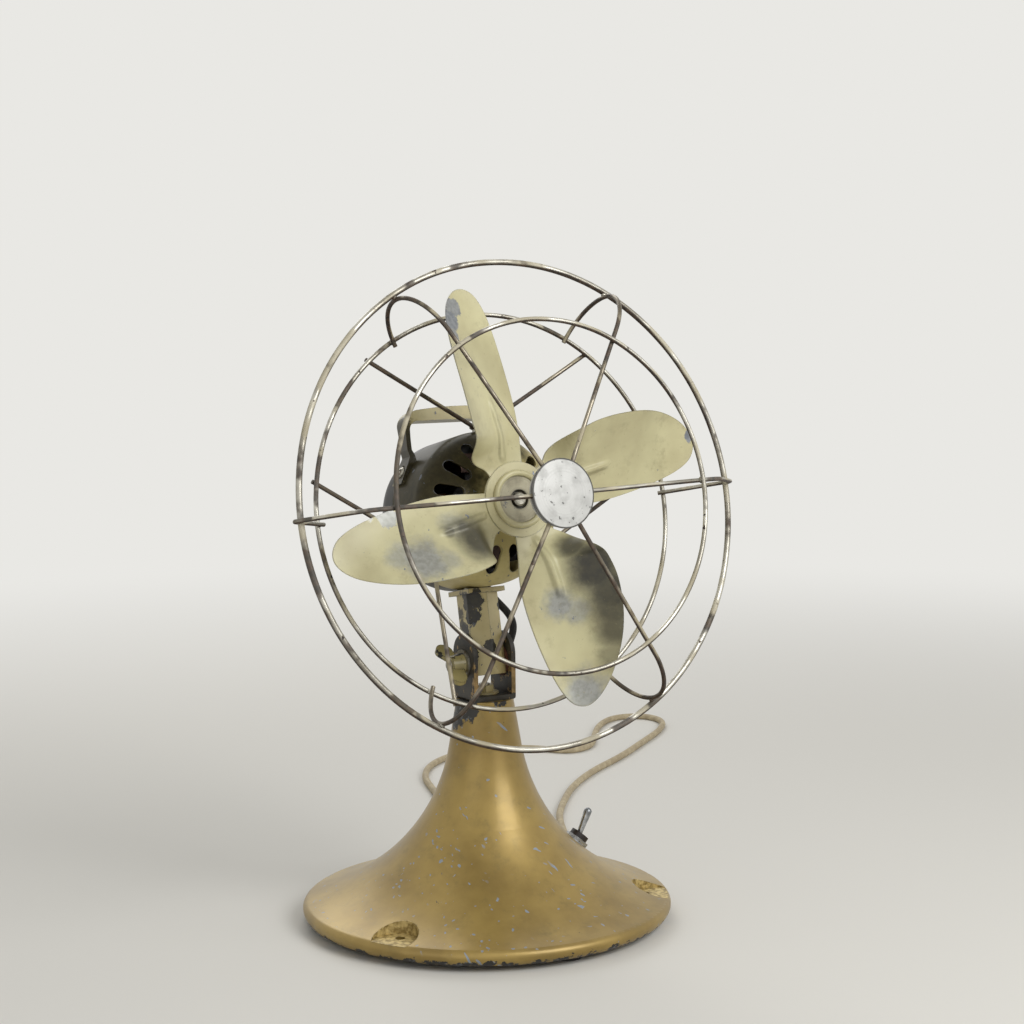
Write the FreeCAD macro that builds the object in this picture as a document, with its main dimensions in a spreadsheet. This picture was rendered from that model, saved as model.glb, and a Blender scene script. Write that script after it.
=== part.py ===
"""A ten-inch electric desk fan: trumpet base, tilting head, four-blade rotor and wire guard.

The origin is the centre of the footprint on the table, +Z is up, the air leaves towards -Y and
+X is on the right of someone who faces the fan. Lengths are millimetres, angles are degrees.
Three frames place the pieces: the table, the head (origin at the tilt pivot, turned by the rest
tilt) and the shaft (origin on the motor shaft above the pivot, +Z forward along the air).
"""
import FreeCAD, Part
import math
import os

import Sketcher
from FreeCAD import Placement, Rotation, Vector

os.makedirs("parts", exist_ok=True)
doc = FreeCAD.newDocument("desk_fan")

SIZES = [
    # base
    ("neck_top", 134.0, "height of the neck's top face"),
    ("neck_radius", 17.15, "radius of the neck at its top"),
    ("neck_taper", 9.5, "angle between the neck's side and the vertical"),
    ("neck_foot", 105.2, "height where the neck begins to flare"),
    ("upper_flare_radius", 110.7, "radius of the flare's upper arc"),
    ("flare_change", 33.74, "slope where the two flare arcs meet"),
    ("lower_flare_radius", 118.9, "radius of the flare's lower arc"),
    ("rim_slope", 75.5, "slope where the flare meets the rim"),
    ("rim_nose_radius", 4.2, "rounding of the rim's upper side"),
    ("rim_bottom", 3.3, "height of the rim's underside"),
    ("base_wall", 3.6, "thickness of the casting"),
    ("neck_cap", 8.0, "thickness of the solid top of the neck"),
    ("cavity_slope", 72.0, "slope where the hollow meets the rim's land"),
    ("recess_count", 3, "bolt-down recesses round the rim"),
    ("recess_centre", 101.5, "distance of a recess's centre from the axis"),
    ("recess_radius", 13.5, "radius of a recess"),
    ("recess_floor", 12.3, "height of a recess's floor"),
    ("recess_wall", 3.0, "wall under and round a recess"),
    ("bench_hole_circle", 96.0, "distance of a bench hole from the axis"),
    ("bench_hole_radius", 2.75, "radius of a bench hole"),
    ("foot_circle", 94.0, "distance of a rubber foot from the axis"),
    ("foot_radius", 9.0, "radius of a rubber foot"),
    ("foot_stem_radius", 3.5, "radius of the foot's stem"),
    ("foot_stem_length", 5.0, "length of the foot's stem"),
    ("plate_radius", 82.0, "radius of the bottom plate"),
    ("plate_thickness", 1.2, "thickness of the bottom plate"),
    ("plate_height", 6.0, "height of the bottom plate's underside"),
    ("plate_post_circle", 66.0, "distance of a plate screw from the axis"),
    ("plate_post_radius", 4.5, "radius of a post that takes a plate screw"),
    ("plate_screw_radius", 1.6, "radius of a plate screw's shank"),
    # yoke and its fixing
    ("yoke_gap", 22.8, "clear width between the yoke's ears"),
    ("ear_thickness", 2.8, "thickness of the yoke's ears"),
    ("yoke_floor", 3.0, "thickness of the yoke's floor"),
    ("yoke_depth", 25.6, "depth of the yoke from front to back"),
    ("ear_reach", 17.6, "height of the ears above the pivot"),
    ("pivot_height", 156.0, "height of the tilt pivot"),
    ("yoke_bend", 1.6, "outer radius of the yoke's bends"),
    ("yoke_bolt_radius", 3.0, "radius of the bolt that holds the yoke"),
    ("yoke_bolt_proud", 0.6, "rise of the bolt's end above its nut"),
    ("nut_flats", 10.0, "width across flats of the yoke nut and the bolt's head"),
    ("nut_height", 4.2, "height of the yoke nut"),
    ("nut_washer_radius", 8.5, "radius of the washer under the yoke nut"),
    ("nut_washer_thickness", 1.0, "thickness of that washer"),
    # tilt clamp
    ("tilt_bolt_radius", 3.1, "radius of the tilt bolt"),
    ("tilt_head_radius", 7.0, "radius of the tilt bolt's head"),
    ("tilt_head_height", 3.4, "height of the tilt bolt's head"),
    ("clamp_washer_radius", 8.5, "radius of the washer under the wing nut"),
    ("clamp_washer_thickness", 1.2, "thickness of that washer"),
    ("fibre_washer_radius", 9.5, "radius of the fibre washers beside the stem"),
    ("fibre_washer_thickness", 0.65, "thickness of the fibre washers"),
    ("wing_hub_radius", 6.6, "radius of the wing nut's hub at its foot"),
    ("wing_hub_top", 5.2, "radius of the wing nut's hub at its top"),
    ("wing_hub_length", 8.0, "length of the wing nut's hub"),
    ("wing_span", 33.0, "distance between the wing tips"),
    ("wing_thickness", 3.0, "thickness of a wing"),
    ("wing_angle", 34.0, "angle of the wings above the horizontal"),
    ("thread_clearance", 0.06, "radial clearance of a running thread"),
    # head
    ("rest_tilt", 12.0, "tilt of the head at rest, front up"),
    ("shaft_height", 90.0, "distance of the shaft from the pivot"),
    ("stem_flats", 21.3, "width across flats of the hexagonal stem"),
    ("stem_foot", 8.3, "reach of the stem below the pivot"),
    ("stem_foot_radius", 12.2, "rounding of the stem's foot about the pivot"),
    ("saddle_width", 24.7, "width of the saddle plate"),
    ("saddle_depth", 25.8, "depth of the saddle plate"),
    ("saddle_thickness", 2.9, "thickness of the saddle plate"),
    ("saddle_clearance", 0.3, "gap between the saddle plate and the motor"),
    ("saddle_screw_offset", 6.0, "distance of a saddle screw from the middle"),
    ("saddle_screw_radius", 2.0, "radius of a saddle screw"),
    # motor
    ("motor_radius", 46.0, "radius of the motor's casing"),
    ("shell_wall", 1.9, "thickness of the casing"),
    ("seam_forward", -9.5, "place of the casing's seam along the shaft"),
    ("band_front", 21.0, "front end of the casing's straight band"),
    ("shoulder_radius", 17.0, "radius of the front shoulder"),
    ("shoulder_turn", 50.0, "turn of the front shoulder"),
    ("face_radius", 42.0, "radius of the domed front face"),
    ("nose_radius", 12.5, "radius of the bearing nose"),
    ("nose_front", 50.0, "front end of the bearing nose"),
    ("vent_count", 15, "cooling slots in the front face"),
    ("vent_inner", 24.5, "distance of a slot's inner end from the shaft"),
    ("vent_outer", 40.5, "distance of a slot's outer end from the shaft"),
    ("vent_width", 7.0, "width of a cooling slot"),
    ("band_rear", -18.0, "rear end of the casing's straight band"),
    ("rear_shoulder_radius", 20.0, "radius of the rear shoulder"),
    ("rear_shoulder_turn", 58.0, "turn of the rear shoulder"),
    ("rear_face_radius", 48.0, "radius of the domed rear face"),
    ("rear_nose_radius", 10.0, "radius of the rear bearing cup"),
    ("rear_nose_back", -47.0, "rear end of the rear bearing cup"),
    ("cover_bolt_circle", 40.2, "distance of a cover bolt from the shaft"),
    ("cover_bolt_radius", 1.7, "radius of a cover bolt"),
    ("cover_boss_radius", 4.2, "radius of a cover bolt's boss"),
    ("cover_boss_back", -29.0, "seat of a cover bolt's head"),
    ("cover_head_radius", 3.0, "radius of a cover bolt's head"),
    ("core_front", 13.0, "front end of the stator core"),
    ("core_back", -6.0, "rear end of the stator core"),
    ("core_clearance", 0.25, "gap between the stator core and the casing"),
    ("core_yoke", 8.0, "depth of the stator core's outer ring"),
    ("pole_width", 12.0, "width of a stator pole"),
    ("air_gap", 0.4, "gap between the rotor and the poles"),
    ("rotor_radius", 19.0, "radius of the rotor"),
    ("saddle_notch", 2.8, "depth of the core's flat above the saddle screws"),
    ("coil_thickness", 4.5, "thickness of a stator coil"),
    ("coil_clearance", 0.3, "gap between a coil and its pole"),
    ("shaft_radius", 4.0, "radius of the motor shaft"),
    ("bearing_clearance", 0.03, "radial clearance of the shaft in its bearings"),
    ("bearing_radius", 7.0, "outer radius of a bearing"),
    ("bearing_length", 12.0, "length of a bearing"),
    ("shaft_front", 65.6, "front end of the shaft"),
    ("shaft_back", -42.0, "rear end of the shaft"),
    # fan
    ("web_face", 63.9, "front face of the spider's web"),
    ("web_thickness", 2.0, "thickness of the spider's web"),
    ("sheet_thickness", 1.0, "thickness of the blade sheet along the shaft"),
    ("web_radius", 22.0, "radius of the spider's web"),
    ("ring_radius", 17.0, "outer radius of the raised ring"),
    ("ring_inner", 13.6, "inner radius of the raised ring"),
    ("ring_height", 2.7, "height of the raised ring"),
    ("hub_face", 64.3, "front face of the hub"),
    ("hub_back", 52.6, "rear face of the hub"),
    ("hub_radius", 9.0, "radius of the hub behind the web"),
    ("hub_screw_radius", 2.0, "radius of the hub's grub screw"),
    ("blade_count", 4, "blades of the fan"),
    ("blade_phase", 9.4, "angle of the first blade above +X"),
    ("blade_axis_face", 67.4, "height of a blade's face on its centre line"),
    ("blade_pitch", 25.9, "pitch of a blade at its middle"),
    ("blade_pitch_slope", -6.2, "change of pitch towards the tip"),
    ("blade_pitch_bow", -13.3, "loss of pitch at both ends"),
    ("blade_camber", 7.2, "rise of the blade's leading side"),
    ("rib_height", 1.6, "height of a blade's stiffening rib"),
    ("rib_width", 2.5, "half width of the rib"),
    ("rib_end", 64.0, "distance of the rib's end from the shaft"),
    # guard
    ("guard_drop", 3.1, "fall of the guard's middle below the shaft"),
    ("outer_ring_radius", 140.8, "radius of the largest ring"),
    ("outer_ring_wire", 1.8, "radius of its wire"),
    ("outer_ring_place", 70.9, "place of the largest ring along the shaft"),
    ("front_ring_radius", 99.9, "radius of the front ring"),
    ("back_ring_radius", 116.7, "radius of the back ring"),
    ("ring_wire", 1.4, "radius of the front and back rings' wire"),
    ("front_ring_place", 106.7, "place of the front ring along the shaft"),
    ("back_ring_place", 38.5, "place of the back ring along the shaft"),
    ("spoke_wire", 1.3, "radius of the spokes' wire"),
    ("spoke_count", 6, "spokes of the guard"),
    ("spoke_slope", 0.076, "fall of a spoke towards its outer end"),
    ("spoke_start", 4.0, "distance of a spoke's inner end from the shaft"),
    ("side_knee", 114.0, "distance of a side spoke's knee from the shaft"),
    ("side_knee_bend", 26.0, "bend of a side spoke at its knee"),
    ("right_turn", 1.9, "turn of the right side spoke about the shaft"),
    ("left_turn", 0.7, "turn of the left side spoke about the shaft"),
    ("weld_gap", 0.05, "gap left between two welded wires"),
    ("strut_count", 3, "rear struts of the guard"),
    ("strut_spread", 40.0, "angle from a strut's vertex to each of its ends"),
    ("strut_foot", 25.0, "place of a strut's vertex along the shaft"),
    ("strut_bend", 6.0, "bend of a strut at its vertex"),
    ("strut_screw_radius", 2.1, "radius of a strut screw"),
    ("medal_radius", 19.8, "radius of the medallion"),
    ("medal_thickness", 0.9, "thickness of the medallion's rim"),
    ("medal_dome", 1.2, "rise of the medallion's face"),
    ("medal_back_radius", 18.5, "radius of the plate behind the spokes"),
    ("medal_back_thickness", 1.2, "thickness of that plate"),
    # carry handle
    ("handle_half_width", 36.5, "half the handle's width outside"),
    ("handle_top", 65.2, "height of the handle's top above the shaft"),
    ("handle_bar", 6.8, "height of the handle's top bar"),
    ("handle_leg", 3.0, "thickness of the handle's legs"),
    ("handle_width", 12.0, "width of the handle along the shaft"),
    ("handle_corner", 10.0, "outer radius of the handle's corners"),
    ("handle_crown", 1.5, "rise of the handle's top at the middle"),
    ("handle_foot_angle", 34.0, "angle of a handle foot above the horizontal"),
    ("handle_foot_height", 16.0, "height of a handle foot"),
    ("handle_place", -3.5, "place of the handle along the shaft"),
    ("handle_screw_radius", 1.8, "radius of a handle screw"),
    ("handle_pad_height", 2.1, "height of a handle foot's pad above the casing"),
    # switch
    ("switch_slope", 49.0, "slope of the flare at the switch"),
    ("switch_azimuth", -5.0, "angle of the switch round the base"),
    ("switch_spot_radius", 8.6, "radius of the flat spot round the switch"),
    ("switch_spot_depth", 0.55, "depth of the flat spot"),
    ("bushing_radius", 5.9, "radius of the switch's threaded bushing"),
    ("bushing_reach", 6.4, "reach of the bushing above the flat spot"),
    ("switch_nut_flats", 14.0, "width across flats of the switch nut"),
    ("switch_nut_height", 2.2, "height of the switch nut"),
    ("switch_washer_radius", 7.8, "radius of the switch washer"),
    ("switch_washer_thickness", 0.8, "thickness of the switch washer"),
    ("switch_body_width", 13.0, "width of the switch body"),
    ("switch_body_length", 28.0, "length of the switch body"),
    ("switch_body_depth", 17.0, "depth of the switch body"),
    ("lever_length", 16.5, "reach of the lever above the bushing"),
    ("lever_root", 1.7, "radius of the lever at its root"),
    ("lever_tip", 2.5, "radius of the lever at its tip"),
    ("lever_throw", 17.0, "angle of the lever each side of the middle"),
    ("lever_sink", 2.6, "depth of the lever's pivot in the bushing"),
    # leads
    ("lead_radius", 2.3, "radius of the motor lead"),
    ("lead_hole_height", 116.0, "height of the lead's hole in the neck"),
    ("lead_azimuth", 60.0, "angle of that hole round the neck"),
    ("lead_bush_radius", 4.6, "radius of the bush in the neck"),
    ("cord_radius", 2.5, "radius of the mains cord"),
    ("cord_height", 2.5, "height of the cord's middle where it lies"),
    ("cord_exit_height", 7.2, "height of the cord's exit in the rim"),
    ("coil_radius", 26.0, "middle radius of the put-away coil"),
    ("coil_half_width", 7.5, "half the width of the coil's winding"),
    ("coil_height", 10.0, "height of the coil"),
    ("plug_length", 26.0, "length of the plug's body"),
    ("plug_width", 24.0, "width of the plug's body"),
    ("plug_depth", 14.0, "depth of the plug's body"),
    ("pin_spacing", 12.7, "distance between the plug's pins"),
    ("pin_thickness", 1.5, "thickness of a pin"),
    ("pin_width", 6.3, "width of a pin"),
    ("pin_length", 16.0, "length of a pin"),
]

sheet = doc.addObject("Spreadsheet::Sheet", "dims")
for row, (alias, number, meaning) in enumerate(SIZES, start=1):
    sheet.set(f"A{row}", meaning)
    sheet.set(f"B{row}", str(number))
    sheet.setAlias(f"B{row}", alias)
doc.recompute()


class Size:
    """A number that also knows the expression which gives it from the sheet's cells."""

    def __init__(self, value, text=None):
        self.value = float(value)
        self.text = text if text is not None else repr(float(value))

    def __add__(self, other):
        other = size(other)
        return Size(self.value + other.value, f"({self.text} + {other.text})")

    def __sub__(self, other):
        other = size(other)
        return Size(self.value - other.value, f"({self.text} - {other.text})")

    def __mul__(self, other):
        other = size(other)
        return Size(self.value * other.value, f"({self.text} * {other.text})")

    def __truediv__(self, other):
        other = size(other)
        return Size(self.value / other.value, f"({self.text} / {other.text})")

    def __radd__(self, other):
        return size(other) + self

    def __rsub__(self, other):
        return size(other) - self

    def __rmul__(self, other):
        return size(other) * self

    def __rtruediv__(self, other):
        return size(other) / self

    def __neg__(self):
        return Size(-self.value, f"(0 - {self.text})")


def size(number):
    return number if isinstance(number, Size) else Size(number)


def sine(angle):
    angle = size(angle)
    return Size(math.sin(math.radians(angle.value)), f"sin({angle.text})")


def cosine(angle):
    angle = size(angle)
    return Size(math.cos(math.radians(angle.value)), f"cos({angle.text})")


def tangent(angle):
    angle = size(angle)
    return Size(math.tan(math.radians(angle.value)), f"tan({angle.text})")


def root(number):
    number = size(number)
    return Size(math.sqrt(number.value), f"sqrt({number.text})")


class Dims:
    """The sheet's cells as attributes."""


d = Dims()
for alias, number, meaning in SIZES:
    setattr(d, alias, Size(sheet.get(alias), f"dims.{alias}"))


class Place:
    """A placement with the expression that gives it."""

    def __init__(self, value, text):
        self.value = value
        self.text = text

    def __mul__(self, other):
        return Place(self.value * other.value, f"{self.text} * {other.text}")


AXES = {"x": Vector(1, 0, 0), "y": Vector(0, 1, 0), "z": Vector(0, 0, 1)}


def move(x=0, y=0, z=0):
    x, y, z = size(x), size(y), size(z)
    base = Vector(x.value, y.value, z.value)
    text = f"placement(vector({x.text}; {y.text}; {z.text}); rotationx(0))"
    return Place(Placement(base, Rotation()), text)


def turn(axis, angle):
    angle = size(angle)
    text = f"placement(vector(0; 0; 0); rotation{axis}({angle.text}))"
    return Place(Placement(Vector(), Rotation(AXES[axis], angle.value)), text)


TABLE = move()
HEAD = move(0, 0, d.pivot_height) * turn("x", -d.rest_tilt)
SHAFT = HEAD * move(0, 0, d.shaft_height) * turn("x", 90)
PIVOT = move(0, 0, d.pivot_height) * turn("y", -90)

nodes = {}


def node(name, shape_object, place=None):
    """Names a finished sub-part, places it and keeps it for the export."""
    shape_object.Label = name
    if place is not None:
        shape_object.setExpression("Placement", place.text)
    nodes[name] = shape_object
    return shape_object


def bind(shape_object, **sizes):
    for prop, number in sizes.items():
        shape_object.setExpression(prop, size(number).text)
    return shape_object


def body(name):
    return doc.addObject("PartDesign::Body", name)


def plane(owner, role):
    for feature in owner.Origin.OriginFeatures:
        if feature.Role == role:
            return feature
    raise RuntimeError(f"no plane {role}")


def new_sketch(owner, role, lift=0):
    """A sketch on one of the body's planes, lifted along the plane's normal."""
    sketch = owner.newObject("Sketcher::SketchObject", owner.Name + "_sketch")
    sketch.AttachmentSupport = (plane(owner, role), [""])
    sketch.MapMode = "FlatFace"
    sketch.setExpression("AttachmentOffset", move(0, 0, lift).text)
    return sketch


def pin_down(sketch, geometry, point, x, y):
    """Fixes one point of the sketch by its two coordinates."""
    for kind, number in (("DistanceX", size(x)), ("DistanceY", size(y))):
        index = sketch.addConstraint(Sketcher.Constraint(kind, -1, 1, geometry, point, number.value))
        sketch.setExpression(f"Constraints[{index}]", number.text)


def outline(sketch, points):
    """A closed outline. A point is (x, y) or (x, y, radius): the radius is that of the arc to the
    next point, positive where the arc turns left and negative where it turns right."""
    first = sketch.GeometryCount
    ends = []
    for index, point in enumerate(points):
        following = points[(index + 1) % len(points)]
        a = Vector(size(point[0]).value, size(point[1]).value, 0)
        b = Vector(size(following[0]).value, size(following[1]).value, 0)
        if len(point) == 2:
            sketch.addGeometry(Part.LineSegment(a, b), False)
            ends.append((1, 2))
            continue
        radius = size(point[2]).value
        chord = b - a
        rise = math.sqrt(max(radius * radius - chord.Length**2 / 4, 0.0))
        side = Vector(-chord.y, chord.x, 0).normalize() * math.copysign(rise, radius)
        centre = (a + b) / 2 + side
        start, end = (a, b) if radius > 0 else (b, a)
        circle = Part.Circle(centre, Vector(0, 0, 1), abs(radius))
        first_angle = math.atan2(start.y - centre.y, start.x - centre.x)
        last_angle = math.atan2(end.y - centre.y, end.x - centre.x)
        sketch.addGeometry(Part.ArcOfCircle(circle, first_angle, last_angle), False)
        ends.append((1, 2) if radius > 0 else (2, 1))
    for index, point in enumerate(points):
        geometry = first + index
        following = (index + 1) % len(points)
        joint = Sketcher.Constraint(
            "Coincident", geometry, ends[index][1], first + following, ends[following][0]
        )
        sketch.addConstraint(joint)
        pin_down(sketch, geometry, ends[index][0], point[0], point[1])
        if len(point) == 3:
            radius = size(point[2])
            text = radius.text if radius.value > 0 else f"(0 - {radius.text})"
            rule = sketch.addConstraint(Sketcher.Constraint("Radius", geometry, abs(radius.value)))
            sketch.setExpression(f"Constraints[{rule}]", text)


def ring(sketch, x, y, radius):
    """A circle in a sketch."""
    x, y, radius = size(x), size(y), size(radius)
    circle = Part.Circle(Vector(x.value, y.value, 0), Vector(0, 0, 1), radius.value)
    index = sketch.addGeometry(circle, False)
    rule = sketch.addConstraint(Sketcher.Constraint("Radius", index, radius.value))
    sketch.setExpression(f"Constraints[{rule}]", radius.text)
    pin_down(sketch, index, 3, x, y)


def polygon(sides, flats, phase=0):
    """The corners of a regular polygon of the given width across flats."""
    corner = flats / 2 / cosine(180.0 / sides)
    steps = [phase + 360.0 * index / sides for index in range(sides)]
    return [(corner * cosine(step), corner * sine(step)) for step in steps]


def add(owner, kind, sketch, **settings):
    """A PartDesign feature on a sketch, with its lengths bound to the sheet."""
    feature = owner.newObject("PartDesign::" + kind, owner.Name + "_" + kind.lower())
    feature.Profile = sketch
    for prop, value in settings.items():
        if isinstance(value, Size):
            feature.setExpression(prop, value.text)
        else:
            setattr(feature, prop, value)
    return feature


def pad(owner, role, length, points, lift=0, both=False):
    sketch = new_sketch(owner, role, lift)
    outline(sketch, points)
    sides = "Symmetric" if both else "One side"
    return add(owner, "Pad", sketch, Length=size(length), SideType=sides)


def disc(owner, role, length, radius, x=0, y=0, lift=0):
    sketch = new_sketch(owner, role, lift)
    ring(sketch, x, y, radius)
    return add(owner, "Pad", sketch, Length=size(length), SideType="One side")


def pocket_through(owner, role, draw):
    """Cuts a drawn shape through the whole body, both ways."""
    sketch = new_sketch(owner, role)
    draw(sketch)
    doc.recompute()
    before = owner.Shape.Volume
    cut = add(owner, "Pocket", sketch, SideType="Symmetric", Length=Size(800.0))
    doc.recompute()
    if owner.Shape.Volume > before - 1e-6:
        raise RuntimeError(f"a pocket of {owner.Name} cuts nothing")
    return cut


def turned(owner, points, kind="Revolution"):
    """A body of revolution about +Z, from points (radius, height)."""
    sketch = new_sketch(owner, "XZ_Plane")
    outline(sketch, points)
    return add(owner, kind, sketch, ReferenceAxis=(sketch, ["V_Axis"]), Angle=360.0)


def turned_body(name, points):
    owner = body(name)
    turned(owner, points)
    return owner


def polar(owner, features, count):
    """Repeats features round +Z of the body."""
    pattern = owner.newObject("PartDesign::PolarPattern", owner.Name + "_pattern")
    pattern.Originals = features
    pattern.Axis = (features[0].Profile[0], ["N_Axis"])
    pattern.Angle = 360.0
    pattern.setExpression("Occurrences", count.text)
    owner.Tip = pattern
    return pattern


def cylinder(name, radius, height, place=None):
    made = doc.addObject("Part::Cylinder", name)
    bind(made, Radius=radius, Height=height)
    if place is not None:
        made.setExpression("Placement", place.text)
    return made


def box(name, length, width, height, place):
    made = doc.addObject("Part::Box", name)
    bind(made, Length=length, Width=width, Height=height)
    made.setExpression("Placement", place.text)
    return made


def centred_box(name, length, width, height, place):
    """A box centred on its place in X and Y, standing on it in Z."""
    return box(name, length, width, height, place * move(-size(length) / 2, -size(width) / 2, 0))


def cut(name, base, tools):
    tool = tools[0] if len(tools) == 1 else fuse(name + "_tools", tools)
    made = doc.addObject("Part::Cut", name)
    made.Base = base
    made.Tool = tool
    return made


def fuse(name, shapes):
    made = doc.addObject("Part::MultiFuse", name)
    made.Shapes = shapes
    return made


def group(name, shapes):
    """Several separate solids that share one node."""
    made = doc.addObject("Part::Compound", name)
    made.Links = shapes
    return made


def round_about(count, radius, start=0.0):
    """Places at even steps round +Z, each with its own +X pointing away from the axis."""
    whole = int(round(count.value))
    angles = [start + 360.0 * index / whole for index in range(whole)]
    return [turn("z", angle) * move(radius, 0, 0) for angle in angles]


def screw(name, head_radius, head_height, shank_radius, shank_length, place):
    """A round-headed screw: the head's underside on the place, the shank along -Z."""
    owner = turned_body(
        name,
        [
            (0, -size(shank_length)),
            (shank_radius, -size(shank_length)),
            (shank_radius, 0),
            (head_radius, 0),
            (head_radius, size(head_height) * 0.45),
            (size(head_radius) * 0.72, head_height),
            (0, head_height),
        ],
    )
    owner.setExpression("Placement", place.text)
    return owner


def washer(name, radius, hole, thickness, place):
    owner = turned_body(name, [(hole, 0), (radius, 0), (radius, thickness), (hole, thickness)])
    owner.setExpression("Placement", place.text)
    return owner


def hex_nut(name, flats, hole, height, place, phase=0):
    owner = body(name)
    sketch = new_sketch(owner, "XY_Plane")
    outline(sketch, polygon(6, flats, phase))
    if hole is not None:
        ring(sketch, 0, 0, hole)
    add(owner, "Pad", sketch, Length=size(height), SideType="One side")
    owner.setExpression("Placement", place.text)
    return owner


def wire_shape(points, bends, radius):
    """A round wire along straight runs joined by tangent arcs of the given bends."""
    edges = []
    start = points[0]
    for index in range(1, len(points) - 1):
        before = (points[index - 1] - points[index]).normalize()
        after = (points[index + 1] - points[index]).normalize()
        half_turn = (math.pi - before.getAngle(after)) / 2
        setback = bends[index - 1] * math.tan(half_turn)
        enter = points[index] + before * setback
        leave = points[index] + after * setback
        inward = (before + after).normalize()
        middle = points[index] + inward * (bends[index - 1] / math.cos(half_turn) - bends[index - 1])
        if (enter - start).Length > 1e-6:
            edges.append(Part.LineSegment(start, enter).toShape())
        edges.append(Part.Arc(enter, middle, leave).toShape())
        start = leave
    edges.append(Part.LineSegment(start, points[-1]).toShape())
    path = Part.Wire(edges)
    return swept_wire(path, points[0], points[1] - points[0], radius)


def swept_wire(path, start, direction, radius):
    section = Part.Wire([Part.Circle(start, direction, radius).toShape()])
    return path.makePipeShell([section], True, False)


def feature(name, shape, place):
    """A sub-part whose shape is computed from the sheet's values."""
    made = doc.addObject("Part::Feature", name)
    made.Shape = shape
    return node(name, made, place)


def free_bends(points):
    """The bend at each inner point of a cord's route: 0.45 of the shorter run over tan(half turn)."""
    bends = []
    for index in range(1, len(points) - 1):
        before = points[index] - points[index - 1]
        after = points[index + 1] - points[index]
        half_turn = before.getAngle(after) / 2
        bends.append(0.45 * min(before.Length, after.Length) / math.tan(half_turn))
    return bends


def path_length(points, bends):
    """Length of the straight runs and tangent arcs along a route."""
    total = sum((b - a).Length for a, b in zip(points, points[1:]))
    for index in range(1, len(points) - 1):
        before = points[index] - points[index - 1]
        after = points[index + 1] - points[index]
        turn_angle = before.getAngle(after)
        total -= bends[index - 1] * (2 * math.tan(turn_angle / 2) - turn_angle)
    return total


# ------------------------------------------------------------------------------------------ base

upper_centre_x = d.neck_radius + (d.neck_top - d.neck_foot) * tangent(d.neck_taper)
upper_centre_x = upper_centre_x + d.upper_flare_radius * cosine(d.neck_taper)
upper_centre_z = d.neck_foot + d.upper_flare_radius * sine(d.neck_taper)
arc_shift = d.lower_flare_radius - d.upper_flare_radius
lower_centre_x = upper_centre_x + arc_shift * cosine(d.flare_change)
lower_centre_z = upper_centre_z + arc_shift * sine(d.flare_change)


def on_upper_flare(slope, inset=0):
    radius = d.upper_flare_radius + inset
    return upper_centre_x - radius * cosine(slope), upper_centre_z - radius * sine(slope)


def on_lower_flare(slope, inset=0):
    radius = d.lower_flare_radius + inset
    return lower_centre_x - radius * cosine(slope), lower_centre_z - radius * sine(slope)


def base_outer():
    """The trumpet's outer form: rim, two flare arcs and the straight neck."""
    flare_x, flare_z = on_lower_flare(d.rim_slope)
    nose_x = flare_x - d.rim_nose_radius * cosine(d.rim_slope) + d.rim_nose_radius
    nose_z = flare_z - d.rim_nose_radius * sine(d.rim_slope)
    under = nose_z - d.rim_bottom
    change_x, change_z = on_upper_flare(d.flare_change)
    foot_x, foot_z = on_upper_flare(d.neck_taper)
    return turned_body(
        "base_outer",
        [
            (0, d.rim_bottom),
            (nose_x - under, d.rim_bottom, under),
            (nose_x, nose_z, d.rim_nose_radius),
            (flare_x, flare_z, -d.lower_flare_radius),
            (change_x, change_z, -d.upper_flare_radius),
            (foot_x, foot_z),
            (d.neck_radius, d.neck_top),
            (0, d.neck_top),
        ],
    )


def base_hollow():
    """The hollow, a wall's thickness inside the flare, open at the underside."""
    inner_x, inner_z = on_lower_flare(d.cavity_slope, d.base_wall)
    change_x, change_z = on_upper_flare(d.flare_change, d.base_wall)
    foot_x, foot_z = on_upper_flare(d.neck_taper, d.base_wall)
    roof_z = d.neck_top - d.neck_cap
    roof_x = foot_x - (roof_z - foot_z) * tangent(d.neck_taper)
    below = d.rim_bottom - 2
    return turned_body(
        "base_hollow",
        [
            (0, below),
            (inner_x, below),
            (inner_x, inner_z, -(d.lower_flare_radius + d.base_wall)),
            (change_x, change_z, -(d.upper_flare_radius + d.base_wall)),
            (foot_x, foot_z),
            (roof_x, roof_z),
            (0, roof_z),
        ],
    )


RECESS_START = 90.0
FOOT_START = 30.0
POST_START = 0.0
BOSS_HEIGHT = 60.0
switch_x, switch_z = on_lower_flare(d.switch_slope)
SWITCH = turn("z", d.switch_azimuth) * move(switch_x, 0, switch_z) * turn("y", 90 - d.switch_slope)
SWITCH = SWITCH * move(0, 0, -d.switch_spot_depth)


def lead_hole_place():
    """The lead's hole in the neck, with +Z pointing out of it."""
    return turn("z", d.lead_azimuth) * move(0, 0, d.lead_hole_height) * turn("y", 90)


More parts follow.
